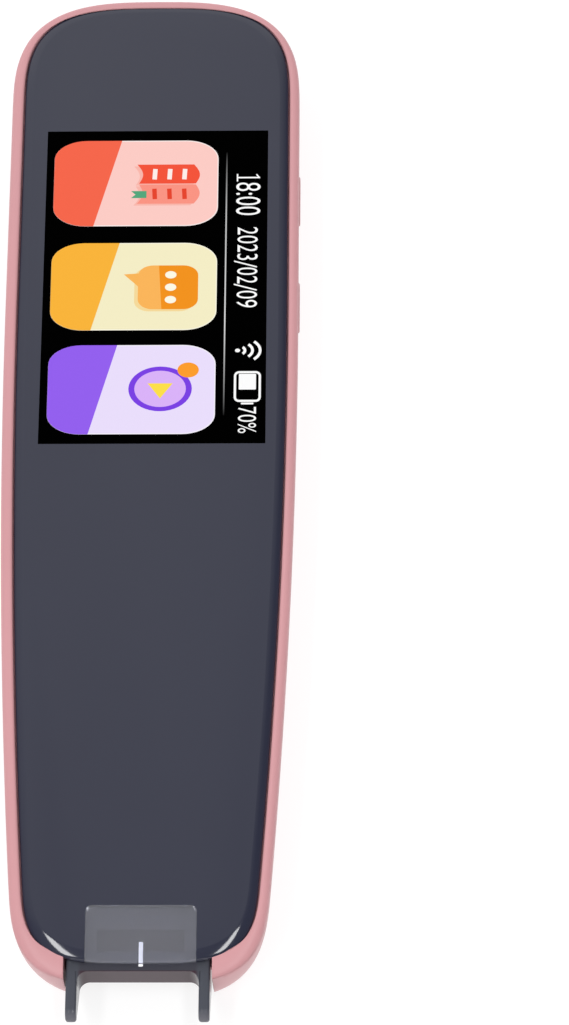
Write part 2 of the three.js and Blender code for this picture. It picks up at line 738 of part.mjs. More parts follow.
// The sliding frame behind the nib, which leaves the light path free and presses the switch
function nibCarriage() {
  const opening = { ...CARRIAGE_OPENING, front: CARRIAGE.front - 1, back: CARRIAGE.back + 1 };
  return shaped([centred(CARRIAGE)], [centred(opening)]);
}

function nibPlunger() {
  return bar(disc(NIB_PLUNGER.radius, NIB_SWITCH.axis, 0), 'y', NIB_PLUNGER.front, NIB_PLUNGER.back);
}

// The fixed guide: two rails beside the nib and a cross wall that the springs push on
function nibGuide() {
  const slide = { ...GUIDE, half: GUIDE.slideHalf, front: GUIDE.front - 1, back: GUIDE.back - GUIDE.wall };
  const sight = { half: 5, front: GUIDE.back - 3, back: GUIDE.back + 1, bottom: 4.3, top: GUIDE.top + 1 };
  return shaped([centred(GUIDE)], [centred({ ...slide, bottom: 0, top: GUIDE.top + 1 }), centred(sight)]);
}

// The switch has a bore that its plunger slides into, deep enough for the nib's whole travel
function nibSwitch() {
  const boreEnd = NIB_PLUNGER.back + NIB.travel + 0.55;
  const bore = bar(disc(NIB_PLUNGER.radius + 0.25, NIB_SWITCH.axis, 0), 'y', NIB_SWITCH.front - 1, boreEnd);
  return shaped([centred(NIB_SWITCH)], [bore]);
}

class Helix extends THREE.Curve {
  constructor(side) {
    super();
    this.side = side;
  }

  getPoint(along) {
    const angle = 2 * Math.PI * SPRING.turns * along;
    return new THREE.Vector3(
      this.side * SPRING.x + SPRING.radius * Math.cos(angle),
      THREE.MathUtils.lerp(SPRING.front, SPRING.back, along),
      SPRING.z + SPRING.radius * Math.sin(angle),
    );
  }
}

function nibSpring(side) {
  const steps = 8 * SPRING.turns;
  const sectionSides = 5;
  const section = new THREE.Shape(disc(SPRING.wire / 2).getPoints(sectionSides).slice(0, sectionSides));
  return new THREE.ExtrudeGeometry(section, { extrudePath: new Helix(side), steps, bevelEnabled: false });
}

// Side keys: a cap in the slot of the shell, with a flange behind the wall that keeps it in

function sideKey(y) {
  const { length, height } = KEY_SIZE;
  const softening = 0.2;
  const cap = roundedRectangle(length, height, height / 2 - 0.01, y, KEY_HEIGHT);
  const face = roundedRectangle(
    length - 2 * softening,
    height - 2 * softening,
    height / 2 - softening - 0.01,
    y,
    KEY_HEIGHT,
  );
  const flange = roundedRectangle(length + 2 * KEY_FLANGE.overhang, KEY_FLANGE.height, 0.5, y, KEY_HEIGHT);
  return shaped([
    bar(cap, 'x', KEY_INNER, KEY_FACE - softening),
    bar(face, 'x', KEY_INNER, KEY_FACE),
    bar(flange, 'x', KEY_INNER, KEY_INNER + KEY_FLANGE.thickness, 3),
  ]);
}

function keySwitch(y) {
  const { back, face, boreEnd, width, height } = KEY_SWITCH;
  const outline = roundedRectangle(width, height, 0.2, y, KEY_HEIGHT);
  const bore = disc(KEY_PLUNGER.radius + 0.2, y, KEY_HEIGHT);
  return shaped([bar(outline, 'x', back, face, 2)], [bar(bore, 'x', boreEnd, KEY_INNER)]);
}

function keyPlunger(y) {
  return bar(disc(KEY_PLUNGER.radius, y, KEY_HEIGHT), 'x', KEY_PLUNGER.back, KEY_PLUNGER.front);
}

function keyBoard() {
  const { left, right, back, front, bottom, top } = KEY_BOARD;
  return span([left, back, bottom], [right, front, top]);
}

// Assembly

const pen = new THREE.Group();
pen.name = 'scan_reading_pen';
const nib = new THREE.Group();
const powerKey = new THREE.Group();
const homeKey = new THREE.Group();
pen.add(nib, powerKey, homeKey);

function place(name, geometry, finish, group = pen) {
  const mesh = new THREE.Mesh(geometry, new THREE.MeshStandardMaterial(finish));
  mesh.name = name;
  group.add(mesh);
}

// A screw at each place, its head just above what it holds down
function placeScrews(name, size, places, held) {
  const seat = held.bottom + held.thickness + 0.05;
  places.forEach((at, index) => place(`${name}_${index + 1}`, screw(size, at, seat), STEEL));
}

// Case and cover
place('back_shell', backShell(), PINK_SHELL);
place('front_frame', frontFrame(), PINK_SHELL);
place('cover_glass', coverGlass(), DARK_COVER);
place('cover_film', coverFilm(), BLACK_FILM);
place('mid_frame', midFrame(), STEEL);
placeScrews('case_screw', CASE_SCREW, CASE_SCREW_PLACES, MID_FRAME);

// Display
place('touch_sensor', displayLayer(11, 11.42, 1.2), DISPLAY_GLASS);
place('lcd_panel', displayLayer(10.25, 10.95, 1.1), DISPLAY_GLASS);
place('lcd_backlight', displayLayer(9.25, 10.2, 0.9), WHITE_PLASTIC);
place('lcd_flex', displayFlex(), AMBER_FLEX);

// Main board
place('main_board', mainBoard(), GREEN_BOARD);
place('processor_shield', underBoard({ width: 16, length: 16, height: 1.7 }, { x: -5, y: 18 }), STEEL);
place('memory_chip', underBoard({ width: 7, length: 10, height: 0.9 }, { x: 8.4, y: 17 }), BLACK_PLASTIC);
place('power_chip', underBoard({ width: 5, length: 5, height: 0.8 }, { x: 8, y: 68 }), BLACK_PLASTIC);
place('wireless_module', underBoard({ width: 12, length: 12, height: 1.3 }, { x: -9, y: 34 }), STEEL);
place('antenna_flex', block({ width: 18, length: 11, height: 0.15 }, { y: 68.5, z: 9.15 }), AMBER_FLEX);
place('usb_c_shell', portShell(), STEEL);
place('usb_c_tongue', portTongue(), BLACK_PLASTIC);
placeScrews('board_screw', BOARD_SCREW, BOARD_SCREW_PLACES, BOARD);

// Battery
place('battery_cell', batteryCell(), SILVER_POUCH);
place('battery_tape', batteryTape(), BLACK_FILM);
place('battery_lead_red', batteryLead(-1), RED_WIRE);
place('battery_lead_black', batteryLead(1), BLACK_PLASTIC);
place('battery_plug', block(BATTERY_PLUG, BATTERY_PLUG), WHITE_PLASTIC);
place('battery_socket', block(BATTERY_SOCKET, BATTERY_SOCKET), WHITE_PLASTIC);

// Speaker and microphone
place('speaker_mesh', roundedPlate(SPEAKER.width - 2, SPEAKER.length - 1, 1.55, 1.7), BLACK_FILM);
place('speaker_gasket', roundedRing(SPEAKER.width - 0.4, SPEAKER.length - 0.4, 1.2, 1.75, 2.3), BLACK_RUBBER);
place('speaker_cone', speakerCone(), BLACK_FILM);
place('speaker_body', speakerBody(), BLACK_PLASTIC);
place('microphone_boot', microphoneBoot(), BLACK_RUBBER);
place('microphone', microphone(), STEEL);

// Camera and lamps
place('camera_board', centred(CAMERA_BOARD), GREEN_BOARD);
place('camera_housing', cameraHousing(), BLACK_PLASTIC);
place('camera_barrel', cameraBarrel(), BLACK_PLASTIC);
place('camera_lens', cameraLens(), LENS);
place('camera_flex', block({ width: 8, length: 50.5, height: 0.15 }, { y: -26.55, z: 7.3 }), AMBER_FLEX);
place('lamp_board', lampBoard(), GREEN_BOARD);
place('lamp_left', lamp(-5.4), LAMP);
place('lamp_right', lamp(5.4), LAMP);

// Scanning nib, and the fixed pieces that it works against
place('scan_nib', scanNib(), SMOKED_CLEAR, nib);
place('index_mark', indexMark(), WHITE_INK, nib);
place('nib_carriage', nibCarriage(), BLACK_PLASTIC, nib);
place('nib_plunger', nibPlunger(), BLACK_PLASTIC, nib);
place('nib_guide', nibGuide(), WHITE_PLASTIC);
place('nib_switch', nibSwitch(), BLACK_PLASTIC);
place('nib_spring_left', nibSpring(-1), STEEL);
place('nib_spring_right', nibSpring(1), STEEL);

// Side keys
place('power_key', sideKey(POWER_KEY_Y), PINK_SHELL, powerKey);
place('power_switch_plunger', keyPlunger(POWER_KEY_Y), BLACK_PLASTIC, powerKey);
place('power_switch', keySwitch(POWER_KEY_Y), STEEL);
place('home_key', sideKey(HOME_KEY_Y), PINK_SHELL, homeKey);
place('home_switch_plunger', keyPlunger(HOME_KEY_Y), BLACK_PLASTIC, homeKey);
place('home_switch', keySwitch(HOME_KEY_Y), STEEL);
place('side_key_board', keyBoard(), GREEN_BOARD);

export default pen;
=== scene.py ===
# Scan reading pen: a pink two-part case, a dark glossy cover with a display, and a smoky clear nib.
# Sizes are in millimetres and become metres where a mesh is made. +Z is the screen side and -Y the nib end.

import math

import bmesh
import bpy
from mathutils import Matrix, Vector


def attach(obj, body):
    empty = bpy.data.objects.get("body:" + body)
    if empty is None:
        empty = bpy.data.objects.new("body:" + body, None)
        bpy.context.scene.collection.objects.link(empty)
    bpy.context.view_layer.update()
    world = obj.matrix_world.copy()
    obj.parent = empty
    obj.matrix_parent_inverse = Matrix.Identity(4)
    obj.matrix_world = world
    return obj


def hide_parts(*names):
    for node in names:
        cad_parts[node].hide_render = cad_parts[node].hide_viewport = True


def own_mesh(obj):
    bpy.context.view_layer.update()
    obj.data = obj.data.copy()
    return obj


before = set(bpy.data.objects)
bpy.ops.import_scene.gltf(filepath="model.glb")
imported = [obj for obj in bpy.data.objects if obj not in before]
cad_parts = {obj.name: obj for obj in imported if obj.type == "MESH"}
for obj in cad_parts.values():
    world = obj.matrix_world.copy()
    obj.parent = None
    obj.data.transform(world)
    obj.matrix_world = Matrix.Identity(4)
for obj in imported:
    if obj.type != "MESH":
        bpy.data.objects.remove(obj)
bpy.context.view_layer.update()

# Camera: held high over the nib end, a little to the right, with a long lens.
# It keeps the photograph's whole frame, with the pen in its left half.

MM = 0.001
VIEW_TARGET = Vector((20.5576, -6.2133, 13.0)) * MM
VIEW_AZIMUTH = math.radians(3.784)
VIEW_ELEVATION = math.radians(67.5245)
VIEW_DISTANCE = 604.612 * MM
VIEW_ROLL = math.radians(3.66916)
LENS_LENGTH = 142.36
SENSOR_LONG_SIDE = 36.0
CLIP_RANGE = (0.01, 20.0)

towards_camera = Vector((
    math.sin(VIEW_AZIMUTH) * math.cos(VIEW_ELEVATION),
    -math.cos(VIEW_AZIMUTH) * math.cos(VIEW_ELEVATION),
    math.sin(VIEW_ELEVATION),
))
upright = (-towards_camera).to_track_quat("-Z", "Y").to_matrix()
camera_data = bpy.data.cameras.new("camera")
camera_data.lens = LENS_LENGTH
camera_data.sensor_width = SENSOR_LONG_SIDE
camera_data.clip_start, camera_data.clip_end = CLIP_RANGE
camera = bpy.data.objects.new("camera", camera_data)
turned = upright @ Matrix.Rotation(-VIEW_ROLL, 3, "Z")
place = Matrix.Translation(VIEW_TARGET + towards_camera * VIEW_DISTANCE)
camera.matrix_world = place @ turned.to_4x4()
bpy.context.scene.collection.objects.link(camera)
bpy.context.scene.camera = camera

# Studio: a white table under a big soft sky of light, brighter at the back and on the left, with a long
# strip softbox overhead on each side and a low one in front. Colours are shown with no film curve.

bpy.context.scene.view_settings.view_transform = "Standard"
TABLE_SIZE = 6.0
TABLE_DROP = 0.05 * MM


def linear(colour):
    """An sRGB hex colour as linear red, green, blue and alpha."""
    channels = [int(colour[place : place + 2], 16) / 255 for place in (1, 3, 5)]
    light = (c / 12.92 if c <= 0.04045 else ((c + 0.055) / 1.055) ** 2.4 for c in channels)
    return (*light, 1.0)


def add_node(owner, kind, inputs=None, **settings):
    """Adds a node with its settings; an input is a plain value, or the socket that is linked to it."""
    tree = owner.node_tree
    added = tree.nodes.new(kind)
    for name, value in settings.items():
        setattr(added, name, value)
    for name, value in (inputs or {}).items():
        if isinstance(value, bpy.types.NodeSocket):
            tree.links.new(value, added.inputs[name])
        else:
            added.inputs[name].default_value = value
    return added


def new_material(name):
    """A material with an empty node tree."""
    material = bpy.data.materials.new(name)
    material.use_nodes = True
    material.node_tree.nodes.clear()
    return material


def show(material, shader, volume=None):
    """Links a shader, and what fills the inside, to the material's output."""
    sockets = {"Surface": shader.outputs[0]}
    if volume:
        sockets["Volume"] = volume.outputs[0]
    add_node(material, "ShaderNodeOutputMaterial", sockets)
    return material


def grained_finish(name, colour, grain, gloss, more=None, detail=2.0, bump=None):
    """A moulded or coated surface with one grain, so many mm across.

    The grain carries the colour from one value to another if there are two, and the roughness likewise.
    A bump is its strength and its depth in mm.
    """
    finish = new_material(name)
    inputs = {"Base Color": colour, "Roughness": gloss, **(more or {})}
    place = add_node(finish, "ShaderNodeTexCoord")
    noise = add_node(finish, "ShaderNodeTexNoise", {
        "Vector": place.outputs["Object"], "Scale": 1 / (grain * MM), "Detail": detail,
    })
    if isinstance(colour, str):
        inputs["Base Color"] = linear(colour)
    else:
        shades = add_node(finish, "ShaderNodeValToRGB", {"Fac": noise.outputs["Fac"]})
        for element, shade in zip(shades.color_ramp.elements, colour):
            element.color = linear(shade)
        inputs["Base Color"] = shades.outputs["Color"]
    if isinstance(gloss, tuple):
        drift = add_node(finish, "ShaderNodeMapRange", {
            "Value": noise.outputs["Fac"], "To Min": gloss[0], "To Max": gloss[1],
        })
        inputs["Roughness"] = drift.outputs["Result"]
    if bump:
        relief = add_node(finish, "ShaderNodeBump", {
            "Height": noise.outputs["Fac"], "Strength": bump[0], "Distance": bump[1] * MM,
        })
        inputs["Normal"] = relief.outputs["Normal"]
    return show(finish, add_node(finish, "ShaderNodeBsdfPrincipled", inputs))


# Opal acrylic: a matt white sheet, lit a little from below as on a product table, which keeps shadows pale
GLOW = 0.79
table_card = grained_finish("opal_acrylic_sheet", "#959595", 0.8, 0.9, {
    "Specular IOR Level": 0.1, "Emission Color": linear("#ffffff"), "Emission Strength": GLOW,
}, bump=(0.05, 0.05))

table_mesh = bpy.data.meshes.new("table")
table_corners = [(x * TABLE_SIZE, y * TABLE_SIZE, 0) for x, y in ((-1, -1), (1, -1), (1, 1), (-1, 1))]
table_mesh.from_pydata(table_corners, [], [(0, 1, 2, 3)])
table_mesh.materials.append(table_card)
table = bpy.data.objects.new("table", table_mesh)
table.location.z = -TABLE_DROP
bpy.context.scene.collection.objects.link(table)

# The sky's brightness by direction: more towards +Y, less towards the right
sky = bpy.data.worlds.new("studio_sky")
sky.use_nodes = True
sky.node_tree.nodes.clear()
direction = add_node(sky, "ShaderNodeTexCoord")
parts = add_node(sky, "ShaderNodeSeparateXYZ", {"Vector": direction.outputs["Generated"]})
SKY_LEVEL = 0.32
SKY_TO_BACK = 1.67
SKY_FRONT = 0.4
SKY_TO_RIGHT = -0.6
SKY_TO_SIDES = -1.0
SKY_RANGE = (0.2, 1.3)
from_back = add_node(sky, "ShaderNodeMath", {
    0: parts.outputs["Y"], 1: SKY_TO_BACK, 2: SKY_LEVEL,
}, operation="MULTIPLY_ADD")
with_front = add_node(sky, "ShaderNodeMath", {0: from_back.outputs[0], 1: SKY_FRONT}, operation="MAXIMUM")
across_sky = add_node(sky, "ShaderNodeMath", {
    0: parts.outputs["X"], 1: SKY_TO_SIDES, 2: SKY_TO_RIGHT,
}, operation="MULTIPLY_ADD")
sideways = add_node(sky, "ShaderNodeMath", {
    0: parts.outputs["X"], 1: across_sky.outputs[0], 2: with_front.outputs[0],
}, operation="MULTIPLY_ADD")
kept = add_node(sky, "ShaderNodeClamp", {
    "Value": sideways.outputs[0], "Min": SKY_RANGE[0], "Max": SKY_RANGE[1],
})
sky_light = add_node(sky, "ShaderNodeBackground", {"Color": linear("#ffffff"), "Strength": kept.outputs[0]})
add_node(sky, "ShaderNodeOutputWorld", {"Surface": sky_light.outputs[0]})
bpy.context.scene.world = sky

# The softboxes face the nib's end, their second size along Y; a radiance of 1 is white
NIB_END = Vector((0, -0.075, 0.012))
STRIP_SIZE = (0.085, 0.5)
FRONT_SIZE = (0.9, 0.35)
for name, towards, distance, size, radiance in (
    ("softbox_left", (-0.285, -0.19, 0.94), 0.9, STRIP_SIZE, 14.5),
    ("softbox_right", (0.245, -0.17, 0.95), 0.9, STRIP_SIZE, 14.5),
    ("softbox_front", (0, -0.86, 0.5), 1.3, FRONT_SIZE, 1.7),
):
    data = bpy.data.lights.new(name, "AREA")
    data.shape = "RECTANGLE"
    data.size, data.size_y = size
    data.energy = radiance * math.pi * size[0] * size[1]
    softbox = bpy.data.objects.new(name, data)
    away = Vector(towards).normalized()
    softbox.location = NIB_END + away * distance
    across = Vector((0, 1, 0)).cross(away).normalized()
    facing = Matrix((across, away.cross(across), away)).transposed()
    softbox.rotation_mode = "QUATERNION"
    softbox.rotation_quaternion = facing.to_quaternion()
    bpy.context.scene.collection.objects.link(softbox)

# Back shell: the lower half of the case, moulded in pink ABS with a fine satin texture.
# Its wall rounds in to a flat back, and it carries the sound holes, the port and the key slots.

CASE_WIDTH = 44.8
CASE_DEPTH = 13.0
TAPER_START = 27.5
TAPER_RATE = 0.000414
CASE_TOP_END = (62.5, 81.3, 2.98)
CASE_TIP_END = (-63.0, -78.4, 3.6)
SEAM_HEIGHT = 11.5
WALL = 1.5
SIDE_ROUNDING = (6.0, 2.6)
TOP_ROUNDING = (5.0, 2.8)
TIP_ROUNDING = (3.5, 4.0)
END_POINTS = 56
SIDE_POINTS = 32
ROUNDING_LOOPS = 26
SEAM_CHAMFER = 0.08
CHAMFER_MIDDLE = 0.3  # the middle point of a chamfer that is rounded, as a share of it
HOLLOW_MARGIN = 0.3
HOLLOW_LIFT = 0.2
OVERCUT = 1.0  # how far a cutting block reaches past what it cuts


def half_width(y):
    """Half the case's width: even at the top, then drawing in towards the nib."""
    return CASE_WIDTH / 2 - TAPER_RATE * max(0.0, TAPER_START - y) ** 2


def pen_outline(inset, top_end, tip_end, middle=0.0):
    """A closed outline, counter-clockwise: two sides and two superellipse ends.

    An end is its centre, its apex and its power.
    """
    points = []
    for start, end, next_end in ((0.0, top_end, tip_end), (math.pi, tip_end, top_end)):
        centre, apex, power = end
        for step in range(END_POINTS + 1):
            angle = start + math.pi * step / END_POINTS
            side = math.copysign(abs(math.cos(angle)) ** (2 / power), math.cos(angle))
            along = abs(math.sin(angle)) ** (2 / power)
            y = centre + (apex - centre) * along
            points.append(Vector((middle + (half_width(y) - inset) * side, y)))
        sign = -1 if start == 0 else 1
        for step in range(1, SIDE_POINTS):
            y = centre + (next_end[0] - centre) * step / SIDE_POINTS
            points.append(Vector((middle + sign * (half_width(y) - inset), y)))
    return points


def drawn_in(end, inset):
    """A superellipse end with its apex moved inwards."""
    centre, apex, power = end
    return (centre, apex - math.copysign(inset, apex), power)


def case_outline(side, top=None, tip=None):
    """The case's outline, moved in by amounts for its sides, its top end and its nib end."""
    top = side if top is None else top
    tip = side if tip is None else tip
    return pen_outline(side, drawn_in(CASE_TOP_END, top), drawn_in(CASE_TIP_END, tip))


def rounding_at(rounding, z):
    """How far the lower wall has rounded in at a height."""
    reach, power = rounding
    drop = min(max((SEAM_HEIGHT - z) / SEAM_HEIGHT, 0.0), 1.0)
    return reach * (1 - (1 - drop**power) ** (1 / power))


def shell_outline(z, inset=0.0):
    """The outline of the lower shell at a height."""
    roundings = (SIDE_ROUNDING, TOP_ROUNDING, TIP_ROUNDING)
    return case_outline(*(rounding_at(rounding, z) + inset for rounding in roundings))


def at_height(outline, z):
    """An outline's points at a height."""
    return [Vector((x, y, z)) for x, y in outline]


def skin(loops, closed=False):
    """A mesh of quads through loops of as many points each: a ring if closed, else with flat ends."""
    built = bmesh.new()
    rows = [[built.verts.new(Vector(point) * MM) for point in loop] for loop in loops]
    pairs = list(zip(rows, rows[1:]))
    if closed:
        pairs.append((rows[-1], rows[0]))
    for lower, upper in pairs:
        for here in range(len(lower)):
            there = (here + 1) % len(lower)
            built.faces.new((lower[here], lower[there], upper[there], upper[here]))
    if not closed:
        built.faces.new(rows[0][::-1])
        built.faces.new(rows[-1])
    bmesh.ops.recalc_face_normals(built, faces=built.faces)
    return built


def join(*parts):
    """One mesh of several that don't touch."""
    whole = bmesh.new()
    for part in parts:
        mesh = bpy.data.meshes.new("part")
        part.to_mesh(mesh)
        part.free()
        whole.from_mesh(mesh)
        bpy.data.meshes.remove(mesh)
    return whole


def along(axis, outline, place):
    """A flat outline set across an axis.

    Across x it is given as (y, z), across y as (x, z) and across z as (x, y).
    """
    spot = "xyz".index(axis)
    return [(*point[:spot], place, *point[spot:]) for point in outline]


def prism(axis, outline, start, end):
    """A solid with that outline across an axis, from one place to another."""
    return skin([along(axis, outline, place) for place in (start, end)])


def block(low, high):
    """A box between two corners."""
    (left, front, bottom), (right, back, top) = low, high
    return prism("z", [(left, front), (right, front), (right, back), (left, back)], bottom, top)


def combine(base, tool, operation):
    """The first mesh less, joined with, or inside the second one."""
    objects = []
    for built in (base, tool):
        mesh = bpy.data.meshes.new("work")
        built.to_mesh(mesh)
        built.free()
        objects.append(bpy.data.objects.new("work", mesh))
        bpy.context.scene.collection.objects.link(objects[-1])
    first, second = objects
    modifier = first.modifiers.new("combine", "BOOLEAN")
    modifier.operation = operation
    modifier.object = second
    modifier.solver = "EXACT"
    result = bmesh.new()
    bpy.context.view_layer.update()
    evaluated = first.evaluated_get(bpy.context.evaluated_depsgraph_get())
    result.from_mesh(evaluated.to_mesh())
    evaluated.to_mesh_clear()
    for used in objects:
        mesh = used.data
        bpy.data.objects.remove(used)
        bpy.data.meshes.remove(mesh)
    return result


def add_piece(name, built, material, body, replaced=(), crease=30.0):
    """A piece of the pen from its mesh: edges sharper than the crease angle stay sharp."""
    mesh = bpy.data.meshes.new(name)
    built.to_mesh(mesh)
    built.free()
    mesh.materials.append(material)
    mesh.shade_smooth()
    mesh.set_sharp_from_angle(angle=math.radians(crease))
    piece = bpy.data.objects.new(name, mesh)
    bpy.context.scene.collection.objects.link(piece)
    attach(piece, body)
    if replaced:
        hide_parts(*replaced)
    return piece


def rounded_rectangle(width, height, radius, centre=(0.0, 0.0), corner_points=10):
    """A rectangle's outline with round corners, counter-clockwise; there may be two radii, (x, y)."""
    rx, ry = radius if isinstance(radius, tuple) else (radius, radius)
    points = []
    for quarter, (sx, sy) in enumerate(((1, 1), (-1, 1), (-1, -1), (1, -1))):
        for step in range(corner_points + 1):
            angle = math.pi / 2 * (quarter + step / corner_points)
            x = centre[0] + sx * (width / 2 - rx) + rx * math.cos(angle)
            y = centre[1] + sy * (height / 2 - ry) + ry * math.sin(angle)
            points.append((x, y))
    return points


def slot_outline(length, height, centre, corner_points=10):
    """The outline of a slot, whose ends are as good as half round."""
    return rounded_rectangle(length, height, height / 2 - 0.01, centre, corner_points)


def disc(x, y, radius, stretch=1.0, points=40):
    """A round outline, which may be stretched along its second direction."""
    turns = [2 * math.pi * step / points for step in range(points)]
    return [(x + radius * math.cos(turn), y + radius * stretch * math.sin(turn)) for turn in turns]


def rod(radius, axis, centre, start, end, sides=32):
    """A cylinder along an axis, through a centre given by its other two coordinates."""
    return prism(axis, disc(*centre, radius, points=sides), start, end)


# Pink ABS: a dyed plastic from a spark-textured mould, so it is satin, with a soft sheen that varies
MOULD_GRAIN = 1 / (0.35 * MM)
FLOW_SIZE = 1 / (30 * MM)
pink_abs = new_material("pink_moulded_abs")
pink_place = add_node(pink_abs, "ShaderNodeTexCoord")
pink_flow = add_node(pink_abs, "ShaderNodeTexNoise", {
    "Vector": pink_place.outputs["Object"], "Scale": FLOW_SIZE, "Detail": 3.0,
})
pink_grain = add_node(pink_abs, "ShaderNodeTexNoise", {
    "Vector": pink_place.outputs["Object"], "Scale": MOULD_GRAIN, "Detail": 2.0,
})
pink_colour = add_node(pink_abs, "ShaderNodeValToRGB", {"Fac": pink_flow.outputs["Fac"]})
pink_colour.color_ramp.elements[0].color = linear("#d49ca0")
pink_colour.color_ramp.elements[1].color = linear("#dda2a7")
pink_gloss = add_node(pink_abs, "ShaderNodeMapRange", {
    "Value": pink_grain.outputs["Fac"], "To Min": 0.24, "To Max": 0.36,
})
pink_edges = add_node(pink_abs, "ShaderNodeBevel", {"Radius": 0.18 * MM}, samples=4)
pink_bump = add_node(pink_abs, "ShaderNodeBump", {
    "Height": pink_grain.outputs["Fac"],
    "Strength": 0.12,
    "Distance": 0.02 * MM,
    "Normal": pink_edges.outputs["Normal"],
})
show(pink_abs, add_node(pink_abs, "ShaderNodeBsdfPrincipled", {
    "Base Color": pink_colour.outputs["Color"],
    "Roughness": pink_gloss.outputs["Result"],
    "IOR": 1.53,
    "Specular IOR Level": 0.16,
    "Normal": pink_bump.outputs["Normal"],
}))


def shell_body():
    """The shell's outside, the lip at the seam, and the hollow inside, as one closed mesh."""
    power = SIDE_ROUNDING[1]
    angles = [math.pi / 2 * (1 - step / ROUNDING_LOOPS) for step in range(ROUNDING_LOOPS + 1)]
    heights = [SEAM_HEIGHT * (1 - math.sin(angle) ** (2 / power)) for angle in angles]
    middle = SEAM_CHAMFER * CHAMFER_MIDDLE
    loops = [at_height(shell_outline(z), z) for z in heights[:-1]]
    loops += [
        at_height(case_outline(0), SEAM_HEIGHT - SEAM_CHAMFER),
        at_height(case_outline(middle), SEAM_HEIGHT - middle),
        at_height(case_outline(SEAM_CHAMFER), SEAM_HEIGHT),
        at_height(case_outline(WALL), SEAM_HEIGHT),
    ]
    for z in reversed(heights):
        if z + WALL < SEAM_HEIGHT - HOLLOW_MARGIN:
            loops.append(at_height(shell_outline(z + HOLLOW_LIFT * WALL, WALL), z + WALL))
    return skin(loops)


NOTCH_HALF = 10.65
NOTCH_BACK = -66.0
NOTCH_FLOOR_FRONT = -73.0
NOTCH_FRONT = -82.0
CHEEK = 1.35
CHEEK_DROP = 0.05
CHEEK_STEPS = 24


def shell_cheeks():
    """The two walls beside the nib, trimmed to the shell's outside."""
    heights = [SEAM_HEIGHT * step / CHEEK_STEPS for step in range(CHEEK_STEPS + 1)]
    solid = skin([at_height(shell_outline(z), z) for z in heights])
    top = SEAM_HEIGHT - CHEEK_DROP
    walls = join(*(
        block((min(a, b), NOTCH_FRONT, WALL / 2), (max(a, b), NOTCH_BACK, top))
        for a, b in ((NOTCH_HALF, NOTCH_HALF + CHEEK), (-NOTCH_HALF, -NOTCH_HALF - CHEEK))
    ))
    return combine(solid, walls, "INTERSECT")


KEY_HEIGHT = 6.8
KEY_LENGTH = 8.3
KEY_THICKNESS = 2.6
KEY_GAP = 0.3
KEY_INNER = 19.0
POWER_KEY_Y = 48.7
HOME_KEY_Y = 30.4
PORT_HEIGHT = 5.53
PORT_BACK = 73.0
PORT_SLOT = (9.4, 3.72)
LAND_SIZE = (13.0, 5.0)
LAND_CORNER = 1.5
LAND_Y = 80.5
MICROPHONE_X = -10.0
MICROPHONE_HOLE = 0.5
SPEAKER_PLACE = (-2.0, 57.0)
HOLE_RADIUS = 0.55
HOLE_PITCH = 2.2
HOLE_ROW = 7


def key_slot(y):
    """The slot in the side wall that a key moves in."""
    size = (KEY_LENGTH + 2 * KEY_GAP, KEY_THICKNESS + 2 * KEY_GAP)
    return prism("x", slot_outline(*size, (y, KEY_HEIGHT)), KEY_INNER, CASE_WIDTH)


def sound_holes():
    """Five staggered rows of round holes in front of the speaker."""
    row_pitch = HOLE_PITCH * math.sin(math.pi / 3)
    holes = []
    for row in range(-2, 3):
        count = HOLE_ROW - abs(row)
        y = SPEAKER_PLACE[1] + row * row_pitch
        for place in range(count):
            x = SPEAKER_PLACE[0] + (place - (count - 1) / 2) * HOLE_PITCH
            holes.append(rod(HOLE_RADIUS, "z", (x, y), -OVERCUT, WALL + OVERCUT, sides=24))
    return join(*holes)


# Screw posts for the case and the board: their places, and a post's radius, its top and its bore's radius
CASE_POSTS = (((-13.0, 68.0), (13.0, 68.0), (-14.5, -54.0), (14.5, -54.0)), (2.0, 8.2, 0.95))
BOARD_POSTS = (((10.5, 3.2), (-14.5, 45.0)), (1.8, 7.1, 0.9))
BORE_BOTTOM = 3.2
posts = [(place, *sizes) for places, sizes in (CASE_POSTS, BOARD_POSTS) for place in places]
# Ribs beside the battery cell
RIB_X = 15.3
RIB_THICKNESS = 0.9
RIB_RUN = (-43.0, -5.0)
RIB_TOP = 3.75

shell = combine(shell_body(), shell_cheeks(), "UNION")
shell = combine(shell, join(
    *(rod(radius, "z", place, WALL / 2, top) for place, radius, top, bore in posts),
    *(
        block((x - RIB_THICKNESS / 2, RIB_RUN[0], WALL / 2), (x + RIB_THICKNESS / 2, RIB_RUN[1], RIB_TOP))
        for x in (-RIB_X, RIB_X)
    ),
), "UNION")
beyond_top = CASE_TOP_END[1] + OVERCUT
land = rounded_rectangle(*LAND_SIZE, LAND_CORNER, (0, PORT_HEIGHT))
for cut in (
    join(
        *(rod(bore, "z", place, BORE_BOTTOM, top + OVERCUT) for place, radius, top, bore in posts),
        key_slot(POWER_KEY_Y),
        key_slot(HOME_KEY_Y),
        sound_holes(),
        rod(MICROPHONE_HOLE, "y", (MICROPHONE_X, PORT_HEIGHT), PORT_BACK, beyond_top, sides=20),
    ),
    prism("y", slot_outline(*PORT_SLOT, (0, PORT_HEIGHT)), PORT_BACK, beyond_top),
    prism("y", land, LAND_Y, beyond_top),
    block((-NOTCH_HALF, NOTCH_FRONT, WALL), (NOTCH_HALF, NOTCH_BACK, CASE_DEPTH)),
    block((-NOTCH_HALF, NOTCH_FRONT, -OVERCUT), (NOTCH_HALF, NOTCH_FLOOR_FRONT, CASE_DEPTH)),
):
    shell = combine(shell, cut, "DIFFERENCE")
add_piece("shell_moulding", shell, pink_abs, "case", ["back_shell"])

# Front frame: the upper half of the case, of the same pink ABS. Its rounded rim stands round the cover,
# the cover lies on its ledge, and its skirt snaps inside the shell, which leaves a fine seam.

